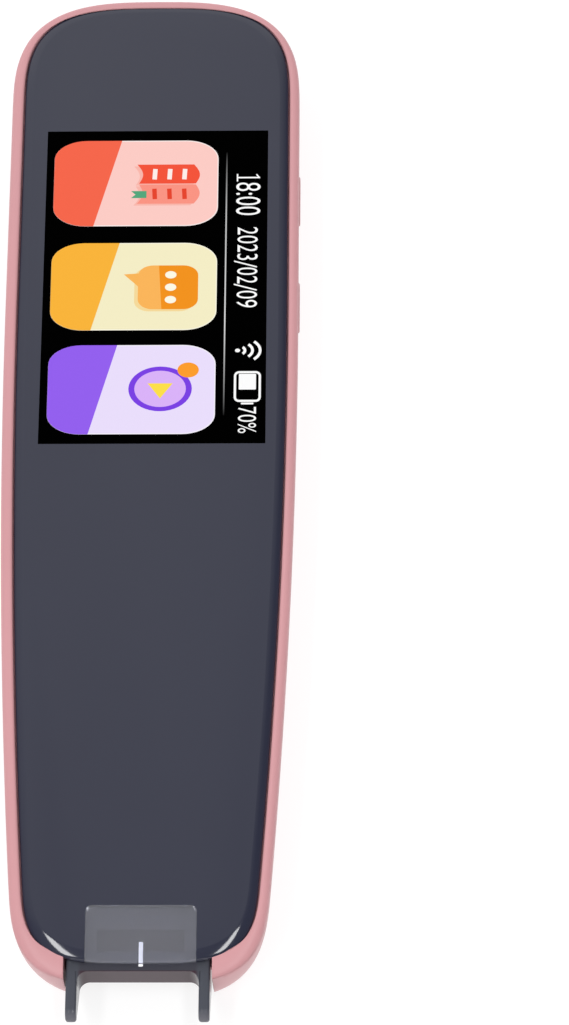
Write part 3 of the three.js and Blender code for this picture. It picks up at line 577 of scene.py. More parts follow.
FRAME_BOTTOM = 11.68
RIM_TOP = 12.85
RIM_TIP_DROP = 0.4
RIM_DROP_ENDS = (-69.0, -76.0)
RIM_LOOPS = 10
RIM_REACH = 0.6
INNER_ROUNDING = 0.4
INNER_FLAT = 0.1
RIM_CHAMFER = 0.1
INNER_LOOPS = 5
RIM_WIDTH = 1.85
COVER_TOP_END = (62.5, 80.3, 3.2)
COVER_TIP_END = (-62.7, -75.55, 3.75)
COVER_MIDDLE = 0.15
COVER_GAP = 0.2
LEDGE_TOP = 11.7
LEDGE_WIDTH = 1.2
SKIRT_BOTTOM = 9.8
SKIRT_INSET = 1.75
CHEEK_CLEARANCE = 0.3


def cover_outline(inset):
    """The cover's outline, moved in by an inset."""
    ends = (drawn_in(end, inset) for end in (COVER_TOP_END, COVER_TIP_END))
    return pen_outline(RIM_WIDTH + inset, *ends, COVER_MIDDLE)


def rim_height(y):
    """The rim's height, which falls off beside the nib."""
    start, end = RIM_DROP_ENDS
    share = min(max((y - start) / (end - start), 0.0), 1.0)
    return RIM_TOP - RIM_TIP_DROP * share**2 * (3 - 2 * share)


def frame_ring():
    """The frame's section carried round the case: rim, cover wall, ledge and skirt."""
    outer = case_outline(0)
    wall = cover_outline(-COVER_GAP)
    rim_start = FRAME_BOTTOM + RIM_CHAMFER
    low, middle = RIM_CHAMFER * CHAMFER_MIDDLE, RIM_CHAMFER * (1 - CHAMFER_MIDDLE)
    loops = [
        at_height(case_outline(RIM_CHAMFER), FRAME_BOTTOM),
        at_height(case_outline(low), FRAME_BOTTOM + middle),
    ]
    for step in range(RIM_LOOPS + 1):
        angle = math.pi / 2 * step / RIM_LOOPS
        loop = []
        for start, end in zip(outer, wall):
            across = end - start
            reach = max(RIM_REACH * across.length, across.length - INNER_ROUNDING - INNER_FLAT)
            x, y = start + across.normalized() * reach * (1 - math.cos(angle))
            loop.append(Vector((x, y, rim_start + (rim_height(y) - rim_start) * math.sin(angle))))
        loops.append(loop)
    for step in range(INNER_LOOPS + 1):
        angle = math.pi / 2 * step / INNER_LOOPS
        depth = INNER_ROUNDING * (1 - math.cos(angle))
        inset = -COVER_GAP - INNER_ROUNDING * (1 - math.sin(angle))
        loops.append([Vector((x, y, rim_height(y) - depth)) for x, y in cover_outline(inset)])
    loops += [
        at_height(wall, LEDGE_TOP),
        at_height(cover_outline(LEDGE_WIDTH), LEDGE_TOP),
        at_height(cover_outline(LEDGE_WIDTH), SKIRT_BOTTOM),
        at_height(case_outline(SKIRT_INSET), SKIRT_BOTTOM),
        at_height(case_outline(SKIRT_INSET), FRAME_BOTTOM),
    ]
    return skin(loops, closed=True)


clear = NOTCH_HALF + CHEEK + CHEEK_CLEARANCE
rim = frame_ring()
for low, high in (
    ((-NOTCH_HALF, NOTCH_FRONT, SKIRT_BOTTOM - OVERCUT), (NOTCH_HALF, NOTCH_BACK, CASE_DEPTH)),
    ((-clear, NOTCH_FRONT - OVERCUT, SKIRT_BOTTOM - 1.5 * OVERCUT), (clear, NOTCH_BACK, FRAME_BOTTOM)),
):
    rim = combine(rim, block(low, high), "DIFFERENCE")
add_piece("frame_moulding", rim, pink_abs, "case", ["front_frame"])

# Cover: one plate of hard-coated acrylic, printed dark navy behind, with a sloping edge all round.
# It is clear only over the nib, where the print leaves a window. It is bonded to the frame's ledge.

COVER_UNDERSIDE = 11.75
EDGE_WIDTH = 1.35
TIP_EDGE_WIDTH = 1.45
TIP_EDGE_POWER = 3.5
# The edge from the flat top outwards: places as shares of its width, with the slope there in degrees
EDGE_SLOPE = (
    (1.04, 0), (1.0, 8), (0.97, 10), (0.9, 11), (0.7, 15), (0.5, 19),
    (0.3, 23), (0.2, 29), (0.14, 36), (0.06, 48), (0.0, 75),
)
WINDOW_PLACE = (0.4, -67.1)
WINDOW_WIDTH = 16.0
WINDOW_REACH = 30.0
WINDOW_CORNER = 0.9
WINDOW_GAP = 0.004

# Printed acrylic: the navy print lies behind a hard glossy surface, with a faint haze of wiping marks
printed_acrylic = grained_finish(
    "navy_printed_acrylic", ("#292b3d", "#2b2e40"), 25, (0.05, 0.09), {"IOR": 1.49}, detail=4.0,
)

# Clear acrylic: the same plate where nothing is printed on it, with a faint blue tint and a trace of haze
clear_acrylic = grained_finish("clear_acrylic", "#f0f2fe", 6, (0.01, 0.03), {
    "IOR": 1.49, "Transmission Weight": 0.925,
}, detail=3.0)


def cover_plate():
    """The plate with its upright edge, the slope above it and the flat top."""
    centre, apex, power = COVER_TIP_END

    def ring(share, z):
        tip = (centre, apex + TIP_EDGE_WIDTH * share, power + (TIP_EDGE_POWER - power) * share)
        top = drawn_in(COVER_TOP_END, EDGE_WIDTH * share)
        return at_height(pen_outline(RIM_WIDTH + EDGE_WIDTH * share, top, tip, COVER_MIDDLE), z)

    z = CASE_DEPTH
    loops = [ring(EDGE_SLOPE[0][0], z)]
    for (share, tilt), (next_share, next_tilt) in zip(EDGE_SLOPE, EDGE_SLOPE[1:]):
        z -= (share - next_share) * EDGE_WIDTH * math.tan(math.radians((tilt + next_tilt) / 2))
        loops.append(ring(next_share, z))
    loops.append(ring(0.0, COVER_UNDERSIDE))
    return skin(loops[::-1])


def window_block(margin):
    """The block of the plate that is clear, with two round corners, less a margin."""
    width = WINDOW_WIDTH - 2 * margin
    centre = (WINDOW_PLACE[0], WINDOW_PLACE[1] - margin - WINDOW_REACH / 2)
    outline = rounded_rectangle(width, WINDOW_REACH, WINDOW_CORNER, centre)
    return prism("z", outline, COVER_UNDERSIDE - OVERCUT, CASE_DEPTH + OVERCUT)


plate = combine(cover_plate(), window_block(0.0), "DIFFERENCE")
add_piece("cover_plate", plate, printed_acrylic, "case", ["cover_glass"], crease=20)
pane = combine(cover_plate(), window_block(WINDOW_GAP), "INTERSECT")
add_piece("cover_window", pane, clear_acrylic, "case", crease=20)

# Cover film: a thin polyester film behind the plate, open at the display and the nib window.
# It is screen-printed near black, and glued on with the print towards the plate, so it looks matt.
mask_film = grained_finish("black_mask_film", "#15161d", 0.5, (0.35, 0.5))


def dress(material, *names):
    """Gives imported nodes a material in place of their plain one."""
    for name in names:
        for material_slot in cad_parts[name].material_slots:
            material_slot.material = material


dress(mask_film, "cover_film")

# Display: the lit picture of a colour liquid crystal panel, bonded behind the cover.
# It reads with the nib to the right: a status bar along the top edge and three round-cornered tiles.

SCREEN_CENTRE = (0.4, 31.5)
SCREEN_SIZE = (52.9, 34.4)
PIXEL_PITCH = 0.12 * MM
SCREEN_BASE = CASE_DEPTH
LAYER = 0.012
GRID_LINE = 0.06  # the width of the grid's lines, as a share of their pitch
GRID_SHADE = 0.9


def screen_point(u, v, z):
    """A point of the picture, u from its left and v up from its bottom, as a point of the pen."""
    x = SCREEN_CENTRE[0] - SCREEN_SIZE[1] / 2 + v
    y = SCREEN_CENTRE[1] + SCREEN_SIZE[0] / 2 - u
    return Vector((x, y, z))


def show_lit(material, colour):
    """Shows a colour as light, under polished glass that reflects very little."""
    return show(material, add_node(material, "ShaderNodeBsdfPrincipled", {
        "Base Color": linear("#000000"),
        "Roughness": 0.08,
        "IOR": 1.04,
        "Emission Color": colour,
        "Emission Strength": 1.0,
    }))


def lit_material(name, colour):
    """Light from the panel: an even colour crossed by the fine dark grid between its pixels."""
    material = new_material("lit_" + name)
    place = add_node(material, "ShaderNodeTexCoord")
    grid = add_node(material, "ShaderNodeTexBrick", {
        "Vector": place.outputs["Object"],
        "Color1": linear(colour),
        "Color2": linear(colour),
        "Mortar": (*(GRID_SHADE * channel for channel in linear(colour)[:3]), 1.0),
        "Scale": 1.0,
        "Mortar Size": PIXEL_PITCH * GRID_LINE,
        "Brick Width": PIXEL_PITCH,
        "Row Height": PIXEL_PITCH,
    }, offset=0.0)
    return show_lit(material, grid.outputs["Color"])


def flat_shape(outline, level):
    """A thin sheet of the picture with that outline, given in (u, v), at a layer of the picture."""
    bottom = SCREEN_BASE + LAYER * (level - 1)
    return skin([[screen_point(u, v, z) for u, v in outline] for z in (bottom, bottom + LAYER)])


def band(centre_line, width):
    """The outline of a line of some width."""
    left, right = [], []
    for index, (u, v) in enumerate(centre_line):
        before = Vector(centre_line[max(index - 1, 0)])
        after = Vector(centre_line[min(index + 1, len(centre_line) - 1)])
        ahead = (after - before).normalized() * width / 2
        left.append((u - ahead.y, v + ahead.x))
        right.append((u + ahead.y, v - ahead.x))
    return left + right[::-1]


def arc(u, v, radius, start, end, stretch, steps=16):
    """Points along an arc, stretched along v, its angles in degrees."""
    turns = [math.radians(start + (end - start) * step / steps) for step in range(steps + 1)]
    return [(u + radius * math.cos(turn), v + radius * stretch * math.sin(turn)) for turn in turns]


def clipped(outline, start, end):
    """The part of an outline to the left of the line from start to end."""
    start, end = Vector(start), Vector(end)
    along_line = end - start

    def side(point):
        offset = Vector(point) - start
        return along_line.x * offset.y - along_line.y * offset.x

    kept_points = []
    for here, there in zip(outline, outline[1:] + outline[:1]):
        side_here, side_there = side(here), side(there)
        if side_here >= 0:
            kept_points.append(here)
        if side_here * side_there < 0:
            share = side_here / (side_here - side_there)
            kept_points.append(tuple(Vector(here).lerp(Vector(there), share)))
    return kept_points


def add_light_shape(name, shapes, colour, level):
    """One or more outlines of the picture, in one colour."""
    built = join(*(flat_shape(shape, level) for shape in shapes))
    add_piece(name, built, lit_material(name, colour), "case")


# The panel behind the picture: polished glass, which is black where nothing is lit
black_panel = grained_finish("unlit_panel_glass", "#000000", 20, (0.06, 0.1), {"IOR": 1.04})
SCREEN_MARGIN = 0.15
SCREEN_CORNER = 0.05
length, width = SCREEN_SIZE
screen_outline = rounded_rectangle(
    length, width - SCREEN_MARGIN, SCREEN_CORNER, (length / 2, (width + SCREEN_MARGIN) / 2), 2,
)
add_piece("display_area", flat_shape(screen_outline, 1), black_panel, "case")

# The tiles: each a strong colour at its foot and a pale one above a slanting line, with a fine light edge
TILE_HEIGHT = 25.4
TILE_WIDTH = 14.75
TILE_BOTTOM = 1.35
TILE_CORNER = (3.2, 5.0)
TILE_EDGE = 0.16
FOOT_INSET = 0.02
TILE_SLANT = (7.6, 11.75)
TILES = (
    ("red", 1.7, "#f8684d", "#ffcec7", "#fff1ee"),
    ("amber", 19.35, "#fcb63c", "#f7f0c8", "#fffbe6"),
    ("violet", 36.6, "#9561f1", "#ece0fe", "#faf5ff"),
)
for tile, left, strong, pale, edge in TILES:
    centre = (left + TILE_WIDTH / 2, TILE_BOTTOM + TILE_HEIGHT / 2)
    whole = rounded_rectangle(TILE_WIDTH, TILE_HEIGHT, TILE_CORNER, centre)
    inner_size = (TILE_WIDTH - 2 * TILE_EDGE, TILE_HEIGHT - 2 * TILE_EDGE)
    inner_corner = (TILE_CORNER[0] - TILE_EDGE, TILE_CORNER[1] - TILE_EDGE)
    inner = rounded_rectangle(*inner_size, inner_corner, centre)
    slant = ((left + TILE_WIDTH, TILE_SLANT[0]), (left, TILE_SLANT[1]))
    foot_size = (TILE_WIDTH - FOOT_INSET, TILE_HEIGHT - FOOT_INSET)
    foot = clipped(rounded_rectangle(*foot_size, TILE_CORNER, centre), *slant)
    add_light_shape(f"tile_{tile}_edge", [whole], edge, 2)
    add_light_shape(f"tile_{tile}_field", [inner], pale, 3)
    add_light_shape(f"tile_{tile}_foot", [foot], strong, 4)

# First sign: an open book with one bright and one pale page, a soft shade under it and a green ribbon
BOOK = (9.25, 18.9)
PAGE_WIDTH = 3.3
PAGE_HALF = 4.4
SPINE_GAP = 0.08
SWELL = 0.75
FALL = 0.3
PAGE_STEPS = 12


def page(side, shift=(0.0, 0.0)):
    """A page's outline: its top and bottom edges swell up beside the spine."""
    shares = [step / PAGE_STEPS for step in range(PAGE_STEPS + 1)]
    swell = [(share, SWELL * math.sin(math.pi * share) - FALL * share) for share in shares]
    low = [(SPINE_GAP + PAGE_WIDTH * share, rise - PAGE_HALF) for share, rise in swell]
    high = [(SPINE_GAP + PAGE_WIDTH * share, rise + PAGE_HALF) for share, rise in reversed(swell)]
    outline = [(BOOK[0] + side * u + shift[0], BOOK[1] + v + shift[1]) for u, v in low + high]
    return outline if side > 0 else outline[::-1]


add_light_shape("sign_book_shade", [page(side, (0.3, -0.5)) for side in (-1, 1)], "#fbb9ae", 4)
add_light_shape("sign_book_bright_page", [page(-1)], "#f6553c", 5)
add_light_shape("sign_book_pale_page", [page(1)], "#fd9685", 5)
for name, side, ink in (("left", -1, "#fff1ec"), ("right", 1, "#e8462f")):
    near, far = BOOK[0] + side * 0.8, BOOK[0] + side * 2.6
    lines = [
        band([(near, BOOK[1] + v), (far, BOOK[1] + v + 0.1)], 0.7)
        for v in (-2.0, 0.3, 2.6)
    ]
    add_light_shape(f"sign_book_lines_{name}", lines, ink, 6)
ribbon = [
    (BOOK[0] + u, BOOK[1] + v)
    for u, v in ((1.2, -5.6), (1.8, -4.9), (2.4, -5.6), (2.4, -3.2), (1.2, -3.2))
]
add_light_shape("sign_book_ribbon", [ribbon], "#57a97e", 6)

# Second sign: a speech bubble, lighter at its foot, with three dots and a soft shade under it
BUBBLE = (26.9, 19.3)
BUBBLE_SIZE = (7.4, 9.2)
BUBBLE_CORNER = (1.7, 2.3)
bubble = rounded_rectangle(*BUBBLE_SIZE, BUBBLE_CORNER, BUBBLE)
bubble_foot = clipped(bubble, (BUBBLE[0] + 9, BUBBLE[1] - 0.6), (BUBBLE[0] - 9, BUBBLE[1] - 1.8))
tail = [(BUBBLE[0] + u, BUBBLE[1] + v) for u, v in ((-2.4, -4.0), (-2.2, -6.8), (0.4, -4.0))]
shade_place = (BUBBLE[0] + 0.35, BUBBLE[1] - 0.55)
bubble_shade = rounded_rectangle(*BUBBLE_SIZE, BUBBLE_CORNER, shade_place)
add_light_shape("sign_bubble_shade", [bubble_shade], "#f8dc9c", 4)
add_light_shape("sign_bubble", [bubble], "#f59420", 5)
add_light_shape("sign_bubble_tail", [tail], "#fcb75a", 5.5)
add_light_shape("sign_bubble_foot", [bubble_foot], "#fdb75c", 6)
bubble_dots = [disc(BUBBLE[0] + u, BUBBLE[1] + 0.4, 0.62, 1.4) for u in (-2.1, 0, 2.1)]
add_light_shape("sign_bubble_dots", bubble_dots, "#fffbe8", 7)

# Third sign: a round player with a triangle, and a small round badge
PLAYER = (43.9, 18.4)
add_light_shape("sign_player_ring", [disc(*PLAYER, 3.7, 1.3)], "#7c42e6", 5)
add_light_shape("sign_player_face", [disc(*PLAYER, 3.0, 1.3)], "#dcb4fb", 6)
play = [(PLAYER[0] + u, PLAYER[1] + v) for u, v in ((-0.9, -1.9), (1.6, 0), (-0.9, 1.9))]
add_light_shape("sign_player_triangle", [play], "#ffe14a", 7)
badge = disc(PLAYER[0] - 3.1, PLAYER[1] + 4.2, 1.25, 1.3)
add_light_shape("sign_player_badge", [badge], "#ff9f2e", 7)

# Status bar: a fading rule, the time and the date, a radio sign, the charge and its share in figures
BAR_RULE_V = 28.05
rule_outline = band([(3.8, BAR_RULE_V), (48.3, BAR_RULE_V)], 0.2)
rule_material = new_material("lit_fading_rule")
rule_place = add_node(rule_material, "ShaderNodeTexCoord")
rule_parts = add_node(rule_material, "ShaderNodeSeparateXYZ", {"Vector": rule_place.outputs["Generated"]})
rule_fade = add_node(rule_material, "ShaderNodeValToRGB", {"Fac": rule_parts.outputs["Y"]})
RULE_DIM = linear("#101010")
rule_fade.color_ramp.elements[0].color = RULE_DIM
rule_fade.color_ramp.elements[1].color = RULE_DIM
rule_fade.color_ramp.elements.new(0.35).color = linear("#d8d8d8")
rule_fade.color_ramp.elements.new(0.75).color = linear("#c0c0c0")
show_lit(rule_material, rule_fade.outputs["Color"])
add_piece("status_rule", flat_shape(rule_outline, 2), rule_material, "case")

status_white = lit_material("status_white", "#ffffff")
FIGURE_THINNING = 0.006


def add_mark(name, built):
    """A white piece of the status bar."""
    add_piece(name, built, status_white, "case")


def add_figures(name, text, left, right, bottom, top):
    """Figures of the status bar, fitted to a box of the picture."""
    curve = bpy.data.curves.new(name, "FONT")
    curve.body = text
    curve.resolution_u = 6
    curve.offset = -FIGURE_THINNING
    worked = bpy.data.objects.new(name, curve)
    bpy.context.scene.collection.objects.link(worked)
    bpy.context.view_layer.update()
    flat = worked.evaluated_get(bpy.context.evaluated_depsgraph_get()).to_mesh()
    built = bmesh.new()
    built.from_mesh(flat)
    bpy.data.objects.remove(worked)
    bmesh.ops.remove_doubles(built, verts=built.verts, dist=1e-5)
    low = [min(v.co[axis] for v in built.verts) for axis in (0, 1)]
    high = [max(v.co[axis] for v in built.verts) for axis in (0, 1)]
    z = SCREEN_BASE + LAYER
    for vert in built.verts:
        u = left + (right - left) * (vert.co.x - low[0]) / (high[0] - low[0])
        v = bottom + (top - bottom) * (vert.co.y - low[1]) / (high[1] - low[1])
        vert.co = screen_point(u, v, z) * MM
    raised = bmesh.ops.extrude_face_region(built, geom=built.faces[:])
    for item in raised["geom"]:
        if isinstance(item, bmesh.types.BMVert):
            item.co.z += LAYER * MM
    bmesh.ops.recalc_face_normals(built, faces=built.faces)
    # The extrusion makes its side faces in no fixed order, so the faces are put in one
    ordered = sorted(built.faces, key=lambda face: tuple(face.calc_center_median()))
    ranks = {face: rank for rank, face in enumerate(ordered)}
    built.faces.sort(key=ranks.get)
    add_mark(name, built)


stem, foot_line, flag = (flat_shape(band(line, width), 2) for line, width in (
    ([(8.18, 29.62), (8.18, 33.2)], 0.24),
    ([(7.56, 29.72), (8.84, 29.72)], 0.22),
    ([(8.18, 33.08), (7.62, 32.65)], 0.22),
))
add_mark("status_time_hour", combine(combine(stem, foot_line, "UNION"), flag, "UNION"))
for name, text, *box in (
    ("status_time_rest", "8:00", 9.05, 14.64, 29.54, 33.3),
    ("status_year", "2023", 16.7, 22.3, 29.82, 32.95),
    ("status_month", "02", 23.6, 26.28, 29.82, 32.94),
    ("status_day", "09", 27.53, 30.33, 29.78, 32.93),
):
    add_figures(name, text, *box)
slashes = [band([(left, 29.35), (left + 1.0, 32.85)], 0.22) for left in (22.5, 26.42)]
add_mark("status_slashes", join(*(flat_shape(shape, 2) for shape in slashes)))
add_figures("status_percent", "70%", 46.93, 51.21, 30.22, 32.98)

RADIO_FOOT = (37.55, 29.85)
radio_sign = [band(arc(*RADIO_FOOT, radius, 48, 132, 1.65), 0.42) for radius in (0.8, 1.5, 2.2)]
radio_sign.append(disc(RADIO_FOOT[0], RADIO_FOOT[1] + 0.2, 0.3, 1.3, 20))
add_mark("status_radio", join(*(flat_shape(shape, 2) for shape in radio_sign)))

CELL_CENTRE = (43.55, 31.6)
CELL_SIZE = (5.1, 4.1)
CELL_CORNER = 0.8
CELL_LINE = 0.35
cell_outer = rounded_rectangle(*CELL_SIZE, CELL_CORNER, CELL_CENTRE)
cell_inner_size = (CELL_SIZE[0] - 2 * CELL_LINE, CELL_SIZE[1] - 2 * CELL_LINE)
cell_inner = rounded_rectangle(*cell_inner_size, CELL_CORNER - CELL_LINE, CELL_CENTRE)
cell_frame = skin([
    [screen_point(u, v, SCREEN_BASE + layer * LAYER) for u, v in outline]
    for outline, layer in ((cell_outer, 1), (cell_outer, 2), (cell_inner, 2), (cell_inner, 1))
], closed=True)
cell_charge = flat_shape(rounded_rectangle(2.6, 2.6, 0.12, (42.75, 31.6), 3), 2)
cell_nub = flat_shape(rounded_rectangle(0.3, 1.9, 0.1, (46.35, 31.6), 3), 2)
add_mark("status_charge", join(cell_frame, cell_charge, cell_nub))

# Display stack below the picture: a touch sensor on glass over the panel's two sheets of glass, bonded
# with clear glue. Unlit it is a dark glossy plate with a faint haze.
display_glass = grained_finish("coated_display_glass", "#0b0c11", 8, (0.08, 0.16), {"IOR": 1.52})
dress(display_glass, "touch_sensor", "lcd_panel")

# Scanning nib: smoky clear polycarbonate, moulded in one piece: two legs that slope up to round tips
# and stand on the page, and a hood between them over the light path. It slides back as it is pressed.

NIB_TIP = -83.5
NIB_FRONT = -76.45
NIB_BACK = -64.5
NIB_TOP = 11.3
NIB_BOTTOM = 1.9
LEG_CENTRE = 9.53
LEG_THICKNESS = 1.6
LEG_TIP_RADIUS = 1.5
LEG_ROUNDING = 0.45
LEG_SLOPE_START = -74.7
ROOF = 1.2
HOOD_BOTTOM = 5.4
HOOD_FLOOR = 1.0
END_PLATE = 1.0
NIB_FILLET = 1.5
FILLET_BITE = 0.1
TIP_STEPS = 24
CORNER_STEPS = 12

# Smoky polycarbonate. The legs are painted lighter towards their tips, a painted stand-in for light coming
# through the thin plastic there.
# The end plate's front is painted a warm brown, the painted colour of the board behind it seen through the
# plastic.
TIP_FADE = 0.22  # the share of the run from tip to end plate in which a leg darkens
PLATE_SHARE = 0.975  # where on that run the end plate's painted warm colour ends
LEG_BLEND = (8.2, 8.7)
RUN_END = NIB_FRONT + 0.2
smoky = new_material("smoky_polycarbonate")
smoky_place = add_node(smoky, "ShaderNodeTexCoord")
smoky_parts = add_node(smoky, "ShaderNodeSeparateXYZ", {"Vector": smoky_place.outputs["Object"]})
smoky_run = add_node(smoky, "ShaderNodeMapRange", {
    "Value": smoky_parts.outputs["Y"], "From Min": NIB_TIP * MM, "From Max": RUN_END * MM,
})
# Painted light: a lighter grey at the leg tips, fading to the smoke colour behind them
leg_tone_with_painted_light = add_node(smoky, "ShaderNodeValToRGB", {"Fac": smoky_run.outputs["Result"]})
leg_tone_with_painted_light.color_ramp.elements[0].color = linear("#7a7a82")
leg_tone_with_painted_light.color_ramp.elements[1].color = linear("#52555e")
leg_tone_with_painted_light.color_ramp.elements[1].position = TIP_FADE
# Painted colour: warm brown on the end plate's front, for the board seen through it
hood_tone_with_painted_board = add_node(smoky, "ShaderNodeValToRGB", {"Fac": smoky_run.outputs["Result"]})
hood_tone_with_painted_board.color_ramp.elements[0].color = linear("#4a3841")
hood_tone_with_painted_board.color_ramp.elements[0].position = PLATE_SHARE
hood_tone_with_painted_board.color_ramp.elements[1].color = linear("#4b4b54")
smoky_side = add_node(smoky, "ShaderNodeMath", {0: smoky_parts.outputs["X"]}, operation="ABSOLUTE")
smoky_share = add_node(smoky, "ShaderNodeMapRange", {
    "Value": smoky_side.outputs[0], "From Min": LEG_BLEND[0] * MM, "From Max": LEG_BLEND[1] * MM,
})
# The mix node's inputs 0, 6 and 7 are its share and two colours, and its output 2 is the mixed colour
smoky_colour = add_node(smoky, "ShaderNodeMix", {
    0: smoky_share.outputs["Result"],
    6: hood_tone_with_painted_board.outputs["Color"],
    7: leg_tone_with_painted_light.outputs["Color"],
}, data_type="RGBA")
smoky_haze = add_node(smoky, "ShaderNodeTexNoise", {
    "Vector": smoky_place.outputs["Object"], "Scale": 1 / (3 * MM), "Detail": 3.0,
})
smoky_gloss = add_node(smoky, "ShaderNodeMapRange", {
    "Value": smoky_haze.outputs["Fac"], "To Min": 0.05, "To Max": 0.12,
})
smoky_shader = add_node(smoky, "ShaderNodeBsdfPrincipled", {
    "Base Color": smoky_colour.outputs[2],
    "Roughness": smoky_gloss.outputs["Result"],
    "IOR": 1.58,
    "Specular IOR Level": 0.03,
    "Transmission Weight": 0.06,
})
smoky_inside = add_node(smoky, "ShaderNodeVolumeAbsorption", {
    "Color": linear("#857c80"), "Density": 700.0,
})
show(smoky, smoky_shader, smoky_inside)


def leg_outline(inset):
    """A leg's side view, its lower side sloping up to a round tip, moved in by an inset."""
    tip = Vector((NIB_TIP + LEG_TIP_RADIUS, NIB_TOP - LEG_TIP_RADIUS))
    slope = tip - Vector((LEG_SLOPE_START, NIB_BOTTOM))
    end = math.atan2(slope.y, slope.x) + math.asin(LEG_TIP_RADIUS / slope.length) + math.pi / 2
    turns = [math.pi / 2 + (end - math.pi / 2) * step / TIP_STEPS for step in range(TIP_STEPS + 1)]
    radius = LEG_TIP_RADIUS - inset
    outline = [(NIB_BACK, NIB_BOTTOM + inset), (NIB_BACK, NIB_TOP - inset)]
    outline += [(tip.x + radius * math.cos(a), tip.y + radius * math.sin(a)) for a in turns]
    touch_y, touch_z = outline[-1]
    outline.append((touch_y + (touch_z - NIB_BOTTOM - inset) * math.tan(end), NIB_BOTTOM + inset))
    return outline


def leg(side):
    """One leg: a plate on edge with rounded edges."""
    loops = []
    for step in range(CORNER_STEPS + 1):
        angle = math.pi * step / CORNER_STEPS
        beside = step - CORNER_STEPS // 2
        flat = (LEG_THICKNESS / 2 - LEG_ROUNDING) * math.copysign(min(1, abs(beside)), beside)
        x = side * LEG_CENTRE + flat - LEG_ROUNDING * math.cos(angle)
        loops.append(along("x", leg_outline(LEG_ROUNDING * (1 - math.sin(angle))), x))
    return skin(loops)


def nib_fillet(side):
    """The round corner between the end plate and a leg."""
    corner = side * (LEG_CENTRE - LEG_THICKNESS / 2 + FILLET_BITE)
    centre = corner - side * (NIB_FILLET + FILLET_BITE)
    front = NIB_FRONT - NIB_FILLET
    turns = [math.pi / 2 * (1 - step / CORNER_STEPS) for step in range(CORNER_STEPS + 1)]
    outline = [(corner, NIB_FRONT + FILLET_BITE), (centre, NIB_FRONT + FILLET_BITE)]
    outline += [
        (centre + side * NIB_FILLET * math.cos(a), front + NIB_FILLET * math.sin(a)) for a in turns
    ]
    outline.append((corner, front))
    return prism("z", outline, HOOD_BOTTOM, NIB_TOP)


nib = leg(-1)
for added in (
    leg(1),
    block((-LEG_CENTRE, NIB_FRONT, NIB_TOP - ROOF), (LEG_CENTRE, NIB_BACK, NIB_TOP)),
    block((-LEG_CENTRE, NIB_FRONT, HOOD_BOTTOM), (LEG_CENTRE, NOTCH_BACK, HOOD_BOTTOM + HOOD_FLOOR)),
    block((-LEG_CENTRE, NIB_FRONT, HOOD_BOTTOM), (LEG_CENTRE, NIB_FRONT + END_PLATE, NIB_TOP)),
    nib_fillet(-1),
    nib_fillet(1),
):
    nib = combine(nib, added, "UNION")
bmesh.ops.dissolve_limit(nib, angle_limit=math.radians(0.5), verts=nib.verts, edges=nib.edges)
nib_piece = add_piece("nib_moulding", nib, smoky, "nib", ["scan_nib"])
# Normals weighted by area keep the flat faces evenly shaded up to their round edges
even_shading = nib_piece.modifiers.new("even_shading", "WEIGHTED_NORMAL")
even_shading.keep_sharp = True

# Painted shade: a thin dark sheet on the hood, standing in for the shade of the camera's opening under it.
# Through the window it shows as a warmer, darker, matt field.
SHADE_SIZE = (12.66, 3.24)
SHADE_CORNER = 0.15
SHADE_CENTRE = (0.33, -71.98)
SHADE_THICKNESS = 0.015
shade_paint = grained_finish("painted_shade_coat", "#2a242b", 0.4, (0.4, 0.55), {"Specular IOR Level": 0.2})
shade_outline = rounded_rectangle(*SHADE_SIZE, SHADE_CORNER, SHADE_CENTRE)
shade = prism("z", shade_outline, NIB_TOP, NIB_TOP + SHADE_THICKNESS)
add_piece("painted_shade_sheet", shade, shade_paint, "nib")

# Index mark: a line of white ink, pad-printed on the hood, that shows where the pen reads. The ink is
# opaque and half matt. It glows a little, to make up for the light that the window over it holds back.
white_ink = grained_finish("white_printing_ink", "#fdfdff", 0.2, (0.4, 0.6), {
    "Emission Color": linear("#ffffff"), "Emission Strength": 0.42,
})
dress(white_ink, "index_mark")

# Side keys: pink ABS caps that stand just proud of the wall, each with a flange behind it.
# They come from the same mould as the shell, so they have its colour and texture.

KEY_FACE = CASE_WIDTH / 2 + 0.1
KEY_SOFTENING = 0.25
FLANGE_DEPTH = 0.8
FLANGE_OVERHANG = 1.2
FLANGE_HEIGHT = 3.0
FLANGE_CORNER = 0.5
KEY_STEPS = 6


def side_key(y):
    """A key cap from its flange to its softly rounded face."""
    centre = (y, KEY_HEIGHT)
    flange_size = (KEY_LENGTH + 2 * FLANGE_OVERHANG, FLANGE_HEIGHT)
    flange = rounded_rectangle(*flange_size, FLANGE_CORNER, centre, 12)
    loops = [along("x", flange, KEY_INNER), along("x", flange, KEY_INNER + FLANGE_DEPTH)]

    def cap(inset, x):
        size = (KEY_LENGTH - 2 * inset, KEY_THICKNESS - 2 * inset)
        return along("x", slot_outline(*size, centre, 12), x)

    loops.append(cap(0, KEY_INNER + FLANGE_DEPTH))
    for step in range(KEY_STEPS + 1):
        angle = math.pi / 2 * step / KEY_STEPS
        depth = KEY_SOFTENING * (1 - math.sin(angle))
        loops.append(cap(KEY_SOFTENING * (1 - math.cos(angle)), KEY_FACE - depth))
    return skin(loops)


for key, y in (("power", POWER_KEY_Y), ("home", HOME_KEY_Y)):
    add_piece(f"{key}_key_cap", side_key(y), pink_abs, f"{key}_button", [f"{key}_key"])

# Charging port: a drawn stainless steel shell with a rolled lip, round a black tongue with contacts.

PORT_WIDTH = 8.94
PORT_THICKNESS = 3.26
PORT_WALL = 0.3
PORT_FRONT = 80.4
PORT_FLOOR = 0.8

